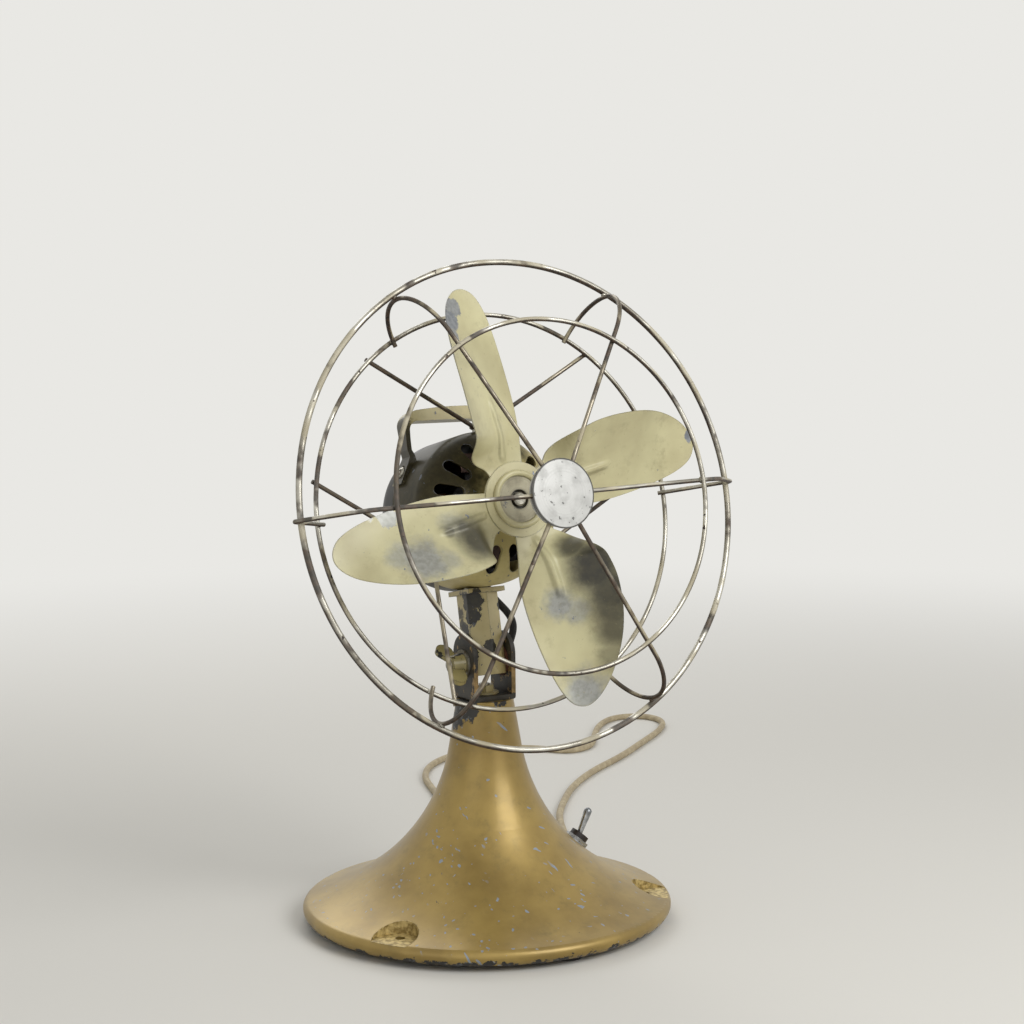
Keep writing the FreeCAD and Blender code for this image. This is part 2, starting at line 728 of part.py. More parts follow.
def make_base():
    boss_foot = d.plate_height + d.plate_thickness + 0.1
    recess_places = round_about(d.recess_count, d.recess_centre, RECESS_START)
    foot_places = round_about(d.recess_count, d.foot_circle, FOOT_START)
    post_places = round_about(d.recess_count, d.plate_post_circle, POST_START + 40.0)
    kept = []
    cuts = []
    for index, place in enumerate(recess_places):
        boss_radius = d.recess_radius + d.recess_wall
        kept.append(cylinder(f"recess_boss_{index}", boss_radius, BOSS_HEIGHT, place * move(0, 0, d.rim_bottom)))
        cuts.append(cylinder(f"recess_{index}", d.recess_radius, BOSS_HEIGHT, place * move(0, 0, d.recess_floor)))
        hole = place * move(d.bench_hole_circle - d.recess_centre, 0, 0)
        cuts.append(cylinder(f"bench_hole_{index}", d.bench_hole_radius, BOSS_HEIGHT, hole))
    for index, place in enumerate(foot_places):
        kept.append(cylinder(f"foot_boss_{index}", d.foot_radius + 1, BOSS_HEIGHT, place * move(0, 0, d.rim_bottom)))
        stem_hole = d.foot_stem_length + 0.4
        socket = cylinder(f"foot_socket_{index}", d.foot_stem_radius + 0.05, stem_hole, place * move(0, 0, d.rim_bottom))
        cuts.append(socket)
    for index, place in enumerate(post_places):
        kept.append(cylinder(f"plate_post_{index}", d.plate_post_radius, BOSS_HEIGHT, place * move(0, 0, boss_foot)))
        bore_radius = d.plate_screw_radius + 0.05
        cuts.append(cylinder(f"plate_screw_hole_{index}", bore_radius, 12, place * move(0, 0, boss_foot)))
    cuts.append(cylinder("yoke_bolt_hole", d.yoke_bolt_radius + 0.1, 40, move(0, 0, d.neck_top - 30)))
    cuts.append(cylinder("switch_hole", d.bushing_radius + 0.2, 40, SWITCH * move(0, 0, -20)))
    cuts.append(cylinder("switch_spot", d.switch_spot_radius, 20, SWITCH))
    cuts.append(cylinder("lead_hole", d.lead_bush_radius - 1.2, 40, lead_hole_place()))
    exit_place = turn("z", CORD_AZIMUTH) * move(90, 0, d.cord_exit_height) * turn("y", 90)
    cuts.append(cylinder("cord_hole", d.cord_radius + 0.8, 30, exit_place))
    hollow = cut("base_hollow_cut", base_hollow(), kept)
    casting = cut("casting", base_outer(), [hollow] + cuts)
    node("base_casting", casting)

    def foot(index, place):
        owner = turned_body(
            f"foot_{index}",
            [
                (0, 0),
                (d.foot_radius - 1.2, 0),
                (d.foot_radius, 1.2),
                (d.foot_radius, d.rim_bottom),
                (d.foot_stem_radius, d.rim_bottom),
                (d.foot_stem_radius, d.rim_bottom + d.foot_stem_length),
                (0, d.rim_bottom + d.foot_stem_length),
            ],
        )
        owner.setExpression("Placement", place.text)
        return owner

    node("rubber_feet", group("feet", [foot(i, p) for i, p in enumerate(foot_places)]))
    plate = body("plate")
    sketch = new_sketch(plate, "XY_Plane", d.plate_height)
    ring(sketch, 0, 0, d.plate_radius)
    for place in post_places:
        spot = place.value.Base
        angle = math.degrees(math.atan2(spot.y, spot.x))
        ring(sketch, d.plate_post_circle * cosine(angle), d.plate_post_circle * sine(angle), d.plate_screw_radius + 0.2)
    add(plate, "Pad", sketch, Length=d.plate_thickness, SideType="One side")
    node("bottom_plate", plate)
    head_place = [place * move(0, 0, d.plate_height) * turn("x", 180) for place in post_places]
    screws = [screw(f"plate_screw_{i}", 3.0, 1.6, d.plate_screw_radius, 9.0, p) for i, p in enumerate(head_place)]
    node("bottom_plate_screws", group("plate_screws", screws))


# ------------------------------------------------------------------------------ yoke and its nut

def make_yoke():
    outer = d.yoke_gap / 2 + d.ear_thickness
    floor_top = d.neck_top + d.yoke_floor
    ear_top = d.pivot_height + d.ear_reach
    owner = body("yoke_body")
    pad(
        owner,
        "XZ_Plane",
        d.yoke_depth,
        [
            (-outer + d.yoke_bend, d.neck_top),
            (outer - d.yoke_bend, d.neck_top, d.yoke_bend),
            (outer, d.neck_top + d.yoke_bend),
            (outer, ear_top),
            (d.yoke_gap / 2, ear_top),
            (d.yoke_gap / 2, floor_top),
            (-d.yoke_gap / 2, floor_top),
            (-d.yoke_gap / 2, ear_top),
            (-outer, ear_top),
            (-outer, d.neck_top + d.yoke_bend, d.yoke_bend),
        ],
        both=True,
    )
    half = d.yoke_depth / 2
    spring_line = ear_top - half
    margin = 6

    def ear_surround(sketch):
        outline(
            sketch,
            [
                (-half, spring_line),
                (-half - margin, spring_line),
                (-half - margin, ear_top + margin),
                (half + margin, ear_top + margin),
                (half + margin, spring_line),
                (half, spring_line, half),
                (0, ear_top, half),
            ],
        )

    pocket_through(owner, "YZ_Plane", ear_surround)
    pocket_through(owner, "YZ_Plane", lambda sketch: ring(sketch, 0, d.pivot_height, d.tilt_bolt_radius + 0.1))
    pocket_through(owner, "XY_Plane", lambda sketch: ring(sketch, 0, 0, d.yoke_bolt_radius + 0.1))
    node("yoke", owner)
    washer_top = floor_top + d.nut_washer_thickness
    hole = d.yoke_bolt_radius + 0.05
    node("yoke_washer", washer("yoke_nut_washer", d.nut_washer_radius, hole, d.nut_washer_thickness, move(0, 0, floor_top)))
    node("yoke_nut", hex_nut("yoke_top_nut", d.nut_flats, hole, d.nut_height, move(0, 0, washer_top), 8.0))
    roof = d.neck_top - d.neck_cap
    shank_low = roof - d.nut_height / 2
    shank_length = washer_top + d.nut_height + d.yoke_bolt_proud - shank_low
    head = hex_nut("yoke_bolt_head", d.nut_flats, None, d.nut_height - 1, move(0, 0, roof - d.nut_height + 1))
    shank = cylinder("yoke_bolt_shank", d.yoke_bolt_radius, shank_length, move(0, 0, shank_low))
    node("yoke_bolt", fuse("yoke_bolt_solid", [head, shank]))


def make_tilt_clamp():
    ear_face = d.yoke_gap / 2 + d.ear_thickness
    far_end = ear_face + d.clamp_washer_thickness + d.wing_hub_length + 1.6
    bolt = turned_body(
        "tilt_bolt_body",
        [
            (0, -ear_face - d.tilt_head_height),
            (d.tilt_head_radius * 0.6, -ear_face - d.tilt_head_height),
            (d.tilt_head_radius, -ear_face - d.tilt_head_height * 0.4),
            (d.tilt_head_radius, -ear_face),
            (d.tilt_bolt_radius, -ear_face),
            (d.tilt_bolt_radius, far_end - 0.6),
            (d.tilt_bolt_radius - 0.6, far_end),
            (0, far_end),
        ],
    )
    node("tilt_bolt", bolt, PIVOT)
    hole = d.tilt_bolt_radius + 0.1
    clamp = washer("clamp", d.clamp_washer_radius, hole, d.clamp_washer_thickness, PIVOT * move(0, 0, ear_face))
    node("clamp_washer", clamp)
    inner = d.yoke_gap / 2 - d.fibre_washer_thickness
    places = [PIVOT * move(0, 0, inner), PIVOT * move(0, 0, -d.yoke_gap / 2)]
    fibre = [
        washer(f"fibre_{i}", d.fibre_washer_radius, hole, d.fibre_washer_thickness, place)
        for i, place in enumerate(places)
    ]
    node("fibre_washers", group("fibres", fibre))
    make_wing_nut(ear_face + d.clamp_washer_thickness)


def make_wing_nut(seat):
    """A cast wing nut: a tapered hub and two rounded wings that rise from its sides."""
    owner = body("wing_nut_body")
    turned(
        owner,
        [
            (0, 0),
            (d.wing_hub_radius, 0),
            (d.wing_hub_top, d.wing_hub_length),
            (0, d.wing_hub_length),
        ],
    )
    tip = d.wing_span / 2
    lobe = 5.0
    for side in (1, -1):
        if side > 0:
            points = [
                (3.0, 1.0),
                (tip - lobe * 1.4, 2.0, lobe * 1.2),
                (tip, 8.0, lobe),
                (tip - lobe * 1.5, 11.5),
                (4.0, d.wing_hub_length - 0.4),
            ]
        else:
            points = [
                (-3.0, 1.0),
                (-4.0, d.wing_hub_length - 0.4),
                (-tip + lobe * 1.5, 11.5, lobe),
                (-tip, 8.0, lobe * 1.2),
                (-tip + lobe * 1.4, 2.0),
            ]
        pad(owner, "XZ_Plane", d.wing_thickness, points, both=True)
    bore = d.tilt_bolt_radius + d.thread_clearance
    pocket_through(owner, "XY_Plane", lambda sketch: ring(sketch, 0, 0, bore))
    place = PIVOT * move(0, 0, seat) * turn("z", 90 - d.wing_angle)
    node("wing_nut", owner, place)


# ------------------------------------------------------------------------------------------ stem

def make_stem():
    """Hexagonal stem with a rounded foot and a saddle plate, cast in one piece."""
    plate_top = d.shaft_height - d.motor_radius - d.saddle_clearance
    plate_bottom = plate_top - d.saddle_thickness
    owner = body("stem_body")
    pad(owner, "XY_Plane", plate_bottom + d.stem_foot, polygon(6, d.stem_flats, 30.0), lift=-d.stem_foot)
    half_width = d.saddle_width / 2
    half_depth = d.saddle_depth / 2
    corners = [
        (-half_width, -half_depth),
        (half_width, -half_depth),
        (half_width, half_depth),
        (-half_width, half_depth),
    ]
    pad(owner, "XY_Plane", d.saddle_thickness, corners, lift=plate_bottom)
    reach = d.stem_foot_radius
    low = -reach - 6

    def below_foot(sketch):
        outline(
            sketch,
            [
                (-reach, 0, reach),
                (0, -reach, reach),
                (reach, 0),
                (reach + 6, 0),
                (reach + 6, low),
                (-reach - 6, low),
                (-reach - 6, 0),
            ],
        )

    pocket_through(owner, "YZ_Plane", below_foot)
    pocket_through(owner, "YZ_Plane", lambda sketch: ring(sketch, 0, 0, d.tilt_bolt_radius + 0.08))

    def screw_holes(sketch):
        for side in (1, -1):
            ring(sketch, side * d.saddle_screw_offset, 0, d.saddle_screw_radius + 0.05)

    sketch = new_sketch(owner, "XY_Plane", plate_top)
    screw_holes(sketch)
    add(owner, "Pocket", sketch, Length=Size(9.0), SideType="One side")
    node("stem", owner, HEAD)
    floor = d.shaft_height - d.motor_radius + d.shell_wall
    screws = []
    for index, side in enumerate((1, -1)):
        place = HEAD * move(side * d.saddle_screw_offset, 0, floor + 0.97)
        screws.append(screw(f"saddle_screw_{index}", 3.0, 1.5, d.saddle_screw_radius, 10.0, place))
    node("saddle_screws", group("saddle_screw_pair", screws))


# ----------------------------------------------------------------------------------------- motor

COVER_ANGLES = (54.0, 126.0, 246.0, 294.0)
BEARING_LIP = 1.2


def dome_points(radius, straight, shoulder, turn_angle, face, forward=1):
    """The two arcs of a domed end: shoulder start, shoulder end and the face's centre."""
    centre_x = radius - shoulder
    meet_x = centre_x + shoulder * cosine(turn_angle)
    meet_z = straight + forward * shoulder * sine(turn_angle)
    face_x = meet_x - face * cosine(turn_angle)
    face_z = meet_z - forward * face * sine(turn_angle)
    return meet_x, meet_z, face_x, face_z


def shell_outline(inset, seam, straight, shoulder, turn_angle, face, nose, nose_end, forward):
    """Half outline of a casing: seam, band, shoulder, face and nose, inset by a wall."""
    radius = d.motor_radius - inset
    inner_shoulder = shoulder - inset
    inner_face = face - inset
    meet_x, meet_z, face_x, face_z = dome_points(radius, straight, inner_shoulder, turn_angle, inner_face, forward)
    nose_x = nose - inset
    run = root(inner_face * inner_face - (nose_x - face_x) * (nose_x - face_x))
    nose_z = face_z + forward * run
    points = [
        (0, seam),
        (radius, seam),
        (radius, straight, forward * inner_shoulder),
        (meet_x, meet_z, forward * inner_face),
        (nose_x, nose_z),
        (nose_x, nose_end),
        (0, nose_end),
    ]
    return points


def shell_body(name, inset, seam, forward, nose_end):
    if forward > 0:
        values = (d.band_front, d.shoulder_radius, d.shoulder_turn, d.face_radius, d.nose_radius)
    else:
        values = (d.band_rear, d.rear_shoulder_radius, d.rear_shoulder_turn, d.rear_face_radius, d.rear_nose_radius)
    straight, shoulder, turn_angle, face, nose = values
    points = shell_outline(inset, seam, straight, shoulder, turn_angle, face, nose, nose_end, forward)
    return turned_body(name, points)


def vents(owner):
    """The cooling slots, drawn along the shaft and repeated round it."""
    half = d.vent_width / 2
    inner = d.vent_inner + half
    outer = d.vent_outer - half
    sketch = new_sketch(owner, "XY_Plane", d.band_front - 2)
    outline(
        sketch,
        [
            (half, inner),
            (half, outer, half),
            (0, outer + half, half),
            (-half, outer),
            (-half, inner, half),
            (0, inner - half, half),
        ],
    )
    slot = add(owner, "Pocket", sketch, Length=Size(60.0), SideType="One side", Reversed=True)
    doc.recompute()
    polar(owner, [slot], d.vent_count)


def make_casing():
    """The vented front shell and the domed rear cover, with the four bolts that join them."""
    bearing_seat = d.bearing_radius + 0.02
    lip = d.nose_front - d.bearing_length - BEARING_LIP
    solid = shell_body("front_solid", Size(0.0), d.seam_forward, 1, d.nose_front)
    vents(solid)
    hollow = shell_body("front_hollow", d.shell_wall, d.seam_forward - 1, 1, lip)
    bosses = []
    bores = [
        cylinder("front_bore", bearing_seat, 60, move(0, 0, d.nose_front - d.bearing_length)),
        cylinder("front_passage", d.shaft_radius + 0.8, 60, move(0, 0, lip - 1)),
    ]
    boss_foot = d.core_front + 0.3
    for angle in COVER_ANGLES:
        place = turn("z", angle) * move(d.cover_bolt_circle, 0, boss_foot)
        tag = int(angle)
        bosses.append(cylinder(f"front_boss_{tag}", d.cover_boss_radius, 40, place))
        bores.append(cylinder(f"front_thread_{tag}", d.cover_bolt_radius + 0.05, 7.0, place * move(0, 0, -1)))
    for angle in strut_angles():
        place = turn("z", angle) * move(0, 0, strut_screw_place()) * turn("y", 90)
        bores.append(cylinder(f"strut_thread_{int(angle)}", d.strut_screw_radius + 0.05, 80, place))
    for side in (1, -1):
        bores.append(cylinder(f"handle_thread_{side}", d.handle_screw_radius + 0.05, 80, handle_screw_place(side, 0)))
        hole = HEAD_IN_SHAFT * move(side * d.saddle_screw_offset, 0, 0)
        bores.append(cylinder(f"saddle_hole_{side}", d.saddle_screw_radius + 0.1, d.shaft_height - 10, hole))
    inside = cut("front_inside", hollow, bosses)
    node("front_shell", cut("front_finished", solid, [inside] + bores), SHAFT)

    solid = shell_body("rear_solid", Size(0.0), d.seam_forward - 0.15, -1, d.rear_nose_back)
    hollow = shell_body("rear_hollow", d.shell_wall, d.seam_forward + 1, -1, d.rear_nose_back + d.bearing_length + 3)
    bosses = []
    bores = [cylinder("rear_bore", bearing_seat, d.bearing_length + 6, move(0, 0, d.rear_nose_back + 2))]
    for angle in COVER_ANGLES:
        place = turn("z", angle) * move(d.cover_bolt_circle, 0, d.cover_boss_back)
        tag = int(angle)
        bosses.append(cylinder(f"rear_boss_{tag}", d.cover_boss_radius, 30, place * move(0, 0, -10)))
        bores.append(cylinder(f"rear_clear_{tag}", d.cover_bolt_radius + 0.1, 60, place * move(0, 0, -8)))
        bores.append(cylinder(f"rear_sink_{tag}", d.cover_head_radius + 0.3, 20, place * move(0, 0, -20)))
    bores.append(cylinder("lead_outlet", d.lead_radius + 0.4, 80, LEAD_OUTLET_IN_SHAFT))
    inside = cut("rear_inside", hollow, bosses)
    node("rear_cover", cut("rear_finished", solid, [inside] + bores), SHAFT)

    bolts = []
    for angle in COVER_ANGLES:
        place = SHAFT * turn("z", angle) * move(d.cover_bolt_circle, 0, d.cover_boss_back) * turn("x", 180)
        length = d.core_front - d.cover_boss_back + 5.0
        bolts.append(screw(f"cover_bolt_{int(angle)}", d.cover_head_radius, 2.2, d.cover_bolt_radius, length, place))
    node("cover_bolts", group("cover_bolt_set", bolts))


def make_stator():
    """Four-pole laminated core with a coil on each pole."""
    outer = d.motor_radius - d.shell_wall - d.core_clearance
    inner = outer - d.core_yoke
    length = d.core_front - d.core_back
    ring_part = washer("core_ring", outer, inner, length, move(0, 0, d.core_back))
    poles = []
    coils = []
    bore = d.rotor_radius + d.air_gap
    coil_inner = bore + 3.2
    for index in range(4):
        place = turn("z", 90.0 * index)
        reach = inner + 1 - bore + 2
        pole = box(f"pole_{index}", reach, d.pole_width, length, place * move(bore - 2, -d.pole_width / 2, d.core_back))
        poles.append(pole)
        wide = d.pole_width + 2 * (d.coil_clearance + d.coil_thickness)
        deep = root(inner * inner - wide * wide / 4) - 0.4 - coil_inner
        tall = length + 2 * (d.coil_clearance + d.coil_thickness)
        low = d.core_back - d.coil_clearance - d.coil_thickness
        block = box(f"coil_block_{index}", deep, wide, tall, place * move(coil_inner, -wide / 2, low))
        window_width = d.pole_width + 2 * d.coil_clearance
        window_tall = length + 2 * d.coil_clearance
        window_place = place * move(coil_inner - 1, -window_width / 2, d.core_back - d.coil_clearance)
        window = box(f"coil_window_{index}", deep + 2, window_width, window_tall, window_place)
        coil = cut(f"coil_{index}", block, [window])
        coils.append(coil)
    notches = [cylinder("core_bore", bore, 80, move(0, 0, -40))]
    for angle in COVER_ANGLES:
        place = turn("z", angle) * move(d.cover_bolt_circle, 0, -40)
        notches.append(cylinder(f"core_notch_{int(angle)}", d.cover_bolt_radius + 0.4, 80, place))
    flat = outer - d.saddle_notch
    notches.append(box("core_flat", 26, 10, 80, move(-13, -flat - 10, -40)))
    core = cut("core", fuse("core_blank", [ring_part] + poles), notches)
    node("stator_core", core, SHAFT)
    node("stator_coils", group("coil_set", coils), SHAFT)


def make_rotor():
    node(
        "motor_shaft",
        turned_body(
            "shaft_body",
            [
                (0, d.shaft_back),
                (d.shaft_radius - 0.5, d.shaft_back),
                (d.shaft_radius, d.shaft_back + 0.5),
                (d.shaft_radius, d.shaft_front - 0.8),
                (d.shaft_radius - 0.8, d.shaft_front),
                (0, d.shaft_front),
            ],
        ),
        SHAFT,
    )
    low = d.core_back - 1
    high = d.core_front + 1
    bar = d.rotor_radius - 3.5
    rotor = turned_body(
        "rotor_body",
        [
            (d.shaft_radius + 0.01, low),
            (bar - 3, low),
            (bar - 3, low - 2.5),
            (bar, low - 2.5),
            (d.rotor_radius, low),
            (d.rotor_radius, high),
            (bar, high + 2.5),
            (bar - 3, high + 2.5),
            (bar - 3, high),
            (d.shaft_radius + 0.01, high),
        ],
    )
    node("rotor", rotor, SHAFT)
    hole = d.shaft_radius + d.bearing_clearance
    front = d.nose_front - d.bearing_length
    node("front_bearing", washer("bearing_f", d.bearing_radius, hole, d.bearing_length - 0.4, SHAFT * move(0, 0, front)))
    back = d.rear_nose_back + 3.5
    node("rear_bearing", washer("bearing_r", d.bearing_radius, hole, d.bearing_length, SHAFT * move(0, 0, back)))
    collar_radius = d.shaft_radius + 2.4
    collars = [
        washer("collar_f", collar_radius, d.shaft_radius + 0.01, 3, SHAFT * move(0, 0, front - BEARING_LIP - 3.3)),
        washer("collar_r", collar_radius, d.shaft_radius + 0.01, 3, SHAFT * move(0, 0, back + d.bearing_length + 0.5)),
    ]
    node("thrust_collars", group("collars", collars))


# ------------------------------------------------------------------------------------------- fan

# Plan outline of a blade: distance along the blade's centre line, and to its leading side.
BLADE_PLAN = [
    (14.0, -7.5),
    (23.5, -8.6),
    (46.0, -12.6),
    (70.0, -13.0),
    (97.0, -10.2),
    (113.0, -6.4),
    (122.5, -0.5),
    (125.3, 6.5),
    (121.0, 16.0),
    (110.0, 23.8),
    (92.0, 30.2),
    (68.0, 33.2),
    (46.0, 32.4),
    (31.0, 27.4),
    (24.2, 21.6),
    (20.6, 16.6),
    (13.0, 12.6),
]
BLADE_MIDDLE = 70.0
BLADE_HALF = 50.0
CAMBER_SPAN = 30.0
BLADE_SHEET = d.sheet_thickness.value
ROOT_START = 22.8
ROOT_END = 40.0


def smooth(value, low, high):
    share = min(max((value - low) / (high - low), 0.0), 1.0)
    return share * share * (3 - 2 * share)


def blade_height(along, across):
    """Height of a blade's front face: twist, camber, a blended root and the pressed rib."""
    way = (along - BLADE_MIDDLE) / BLADE_HALF
    pitch = d.blade_pitch.value + d.blade_pitch_slope.value * way + d.blade_pitch_bow.value * way * way
    rise = across * math.tan(math.radians(pitch))
    curl = d.blade_camber.value * (across / CAMBER_SPAN) ** 2
    face = d.blade_axis_face.value + rise + curl
    root_face = d.web_face.value - (d.web_thickness.value - BLADE_SHEET) / 2
    share = smooth(along, ROOT_START, ROOT_END)
    rib_line = 2.0 + 0.078 * along
    away = (across - rib_line) / d.rib_width.value
    fade = 1 - smooth(along, d.rib_end.value - 12, d.rib_end.value)
    rib = d.rib_height.value * math.exp(-away * away) * fade * smooth(along, ROOT_START, ROOT_START + 8)
    return root_face + (face - root_face) * share + rib


def blade_shape():
    """A blade pressed from sheet: the face surface given a thickness, trimmed to the plan."""
    along_steps = [10.0 + 6.0 * index for index in range(21)]
    across_steps = [-18.0 + 3.0 * index for index in range(19)]
    grid = [[Vector(u, v, blade_height(u, v)) for v in across_steps] for u in along_steps]
    surface = Part.BSplineSurface()
    surface.interpolate(grid)
    face = surface.toShape()
    slab = face.extrude(Vector(0, 0, -BLADE_SHEET))
    curve = Part.BSplineCurve()
    curve.interpolate([Vector(u, v, 0) for u, v in BLADE_PLAN], PeriodicFlag=True)
    plan = Part.Face(Part.Wire([curve.toShape()]))
    prism = plan.extrude(Vector(0, 0, 200))
    return slab.common(prism).Solids[0]


def make_fan():
    back = d.web_face - d.web_thickness
    floor = d.web_face - 0.6
    crest = d.web_face + d.ring_height
    bore = d.hub_radius + 0.02
    rise = (d.ring_radius - d.ring_inner) / 2
    spider = turned_body(
        "spider_web",
        [
            (bore, back),
            (d.web_radius, back),
            (d.web_radius, d.web_face),
            (d.ring_radius, d.web_face),
            (d.ring_radius, crest - rise, rise),
            (d.ring_radius - rise, crest, rise),
            (d.ring_inner, crest - rise),
            (d.ring_inner, floor),
            (bore, floor),
        ],
    )
    doc.recompute()
    blade = blade_shape()
    blades = []
    whole = int(round(d.blade_count.value))
    for index in range(whole):
        copy = blade.copy()
        copy.rotate(Vector(), Vector(0, 0, 1), d.blade_phase.value + 360.0 * index / whole)
        blades.append(copy)
    eye = Part.makeCylinder(d.ring_inner.value + 1.2, 200)
    trimmed = [item.cut(eye) for item in blades]
    joined = spider.Shape.multiFuse(trimmed)
    feature("fan_blades", joined.Solids[0], SHAFT)

    hub = turned_body(
        "hub_body",
        [
            (d.shaft_radius + 0.01, d.hub_back),
            (d.hub_radius - 1, d.hub_back),
            (d.hub_radius, d.hub_back + 1),
            (d.hub_radius, floor),
            (d.ring_inner - 0.2, floor),
            (d.ring_inner - 0.2, d.hub_face),
            (d.shaft_radius + 1.6, d.hub_face),
            (d.shaft_radius + 1.6, d.hub_face - 3),
            (d.shaft_radius + 0.01, d.hub_face - 3),
        ],
    )
    screw_height = d.hub_back + 4
    screw_place = move(0, 0, screw_height) * turn("y", 90)
    bore_tool = cylinder("grub_hole", d.hub_screw_radius + 0.02, 30, screw_place)
    node("fan_hub", cut("hub_cut", hub, [bore_tool]), SHAFT)
    grub = cylinder("grub", d.hub_screw_radius, d.hub_radius - d.shaft_radius, SHAFT * screw_place * move(0, 0, d.shaft_radius + 0.05))
    node("hub_grub_screw", grub)


# ----------------------------------------------------------------------------------------- guard

def strut_angles():
    whole = int(round(d.strut_count.value))
    return [90.0 + 360.0 * index / whole for index in range(whole)]


def guard_place():
    """Frame of the guard's rings and spokes, which hang a little below the shaft."""
    return SHAFT * move(0, -d.guard_drop, 0)


def strut_end_radius():
    return d.back_ring_radius + 1.5


def strut_end_place():
    return d.back_ring_place - d.ring_wire - d.spoke_wire - d.weld_gap


def strut_vertex():
    """Radius of a strut's vertex, and how far its bend lifts the wire away from the vertex."""
    radius = d.motor_radius + d.spoke_wire - 0.7
    side = strut_end_radius() * sine(d.strut_spread)
    out = strut_end_radius() * cosine(d.strut_spread) - radius
    along = strut_end_place() - d.strut_foot
    leg = root(side * side + out * out + along * along)
    return radius, d.strut_bend * (leg / side - 1)


def strut_screw_place():
    """Place of a strut screw along the shaft: in the crook of the strut's bend."""
    return d.strut_foot - d.spoke_wire - d.strut_screw_radius - 0.15


def torus(name, radius, wire, place_along):
    made = doc.addObject("Part::Torus", name + "_torus")
    bind(made, Radius1=radius, Radius2=wire)
    return node(name, made, guard_place() * move(0, 0, place_along))


def spoke_line(radius):
    """Place of a spoke's middle along the shaft where it crosses the given radius."""
    at_ring = d.front_ring_place - d.ring_wire - d.spoke_wire - d.weld_gap
    return at_ring + d.spoke_slope * (d.front_ring_radius - radius)


def spoke_shape():
    """A spoke that runs out under the front ring, turns inside the largest ring in one arc that
    touches it, and comes back over the back ring."""
    wire = d.spoke_wire.value
    slope = d.spoke_slope.value
    start = d.spoke_start.value
    gap = d.weld_gap.value
    limit = d.outer_ring_radius.value - d.outer_ring_wire.value - wire - gap
    origin = spoke_line(Size(0.0)).value
    stretch = math.sqrt(1 + slope * slope)
    contact = d.ring_wire.value + wire + gap
    across = d.back_ring_radius.value - limit
    along = d.back_ring_place.value - origin + limit * slope
    factor = stretch - slope
    a = factor * factor
    b = 2 * (across + factor * along - contact)
    c = across * across + along * along - contact * contact
    bend = (-b - math.sqrt(b * b - 4 * a * c)) / (2 * a)
    centre_r = limit - bend
    centre_s = origin - slope * centre_r - bend * stretch
    first = Vector(centre_r + bend * slope / stretch, 0, centre_s + bend / stretch)
    towards = Vector(d.back_ring_radius.value - centre_r, 0, d.back_ring_place.value - centre_s)
    last_angle = math.atan2(towards.z, towards.x) - 2.5 / bend
    last = Vector(centre_r + bend * math.cos(last_angle), 0, centre_s + bend * math.sin(last_angle))
    middle = Vector(limit, 0, centre_s)
    begin = Vector(start, 0, origin - slope * start)
    path = Part.Wire([Part.LineSegment(begin, first).toShape(), Part.Arc(first, middle, last).toShape()])
    return swept_wire(path, begin, first - begin, wire)


def corner_round(point, target, centre, contact, target_contact):
    """Corner of a wire that comes from a point, wraps clockwise round one wire and goes on past another."""
    run = centre - point
    lean = math.atan2(run.z, run.x) + math.asin(contact / run.Length)
    way_in = Vector(math.cos(lean), 0, math.sin(lean))
    run = target - centre
    lean = math.atan2(run.z, run.x) + math.asin((target_contact - contact) / run.Length)
    way_out = Vector(math.cos(lean), 0, math.sin(lean))
    half_turn = way_in.getAngle(way_out) / 2
    inward = (way_out - way_in).normalize()
    corner = centre - inward * (contact / math.cos(half_turn))
    touch = target + Vector(-way_out.z, 0, way_out.x) * target_contact
    return corner, touch + way_out * 2.5


def side_spoke_shape():
    """A side spoke: it runs over the largest ring, wraps it and comes back over the back ring."""
    wire = d.spoke_wire.value
    gap = d.weld_gap.value
    begin = Vector(d.spoke_start.value, 0, spoke_line(d.spoke_start).value)
    knee = Vector(d.side_knee.value, 0, spoke_line(d.side_knee).value)
    ring_middle = Vector(d.outer_ring_radius.value, 0, d.outer_ring_place.value)
    target = Vector(d.back_ring_radius.value, 0, d.back_ring_place.value)
    contact = d.outer_ring_wire.value + wire + gap
    corner, end = corner_round(knee, target, ring_middle, contact, -(d.ring_wire.value + wire + gap))
    return wire_shape([begin, knee, corner, end], [d.side_knee_bend.value, contact], wire)


def strut_shape(angle):
    """A rear strut: one rod bent at the motor, with both ends welded behind the back ring."""
    wire = d.spoke_wire.value
    vertex_radius = strut_vertex()[0].value
    place = strut_end_place().value
    ends = []
    for side in (-1, 1):
        way = math.radians(angle + side * d.strut_spread.value)
        radius = strut_end_radius().value - d.guard_drop.value * math.sin(way)
        turned = math.radians(side * d.strut_spread.value)
        ends.append(Vector(radius * math.cos(turned), radius * math.sin(turned), place))
    vertex = Vector(vertex_radius, 0, d.strut_foot.value)
    return wire_shape([ends[0], vertex, ends[1]], [d.strut_bend.value], wire)


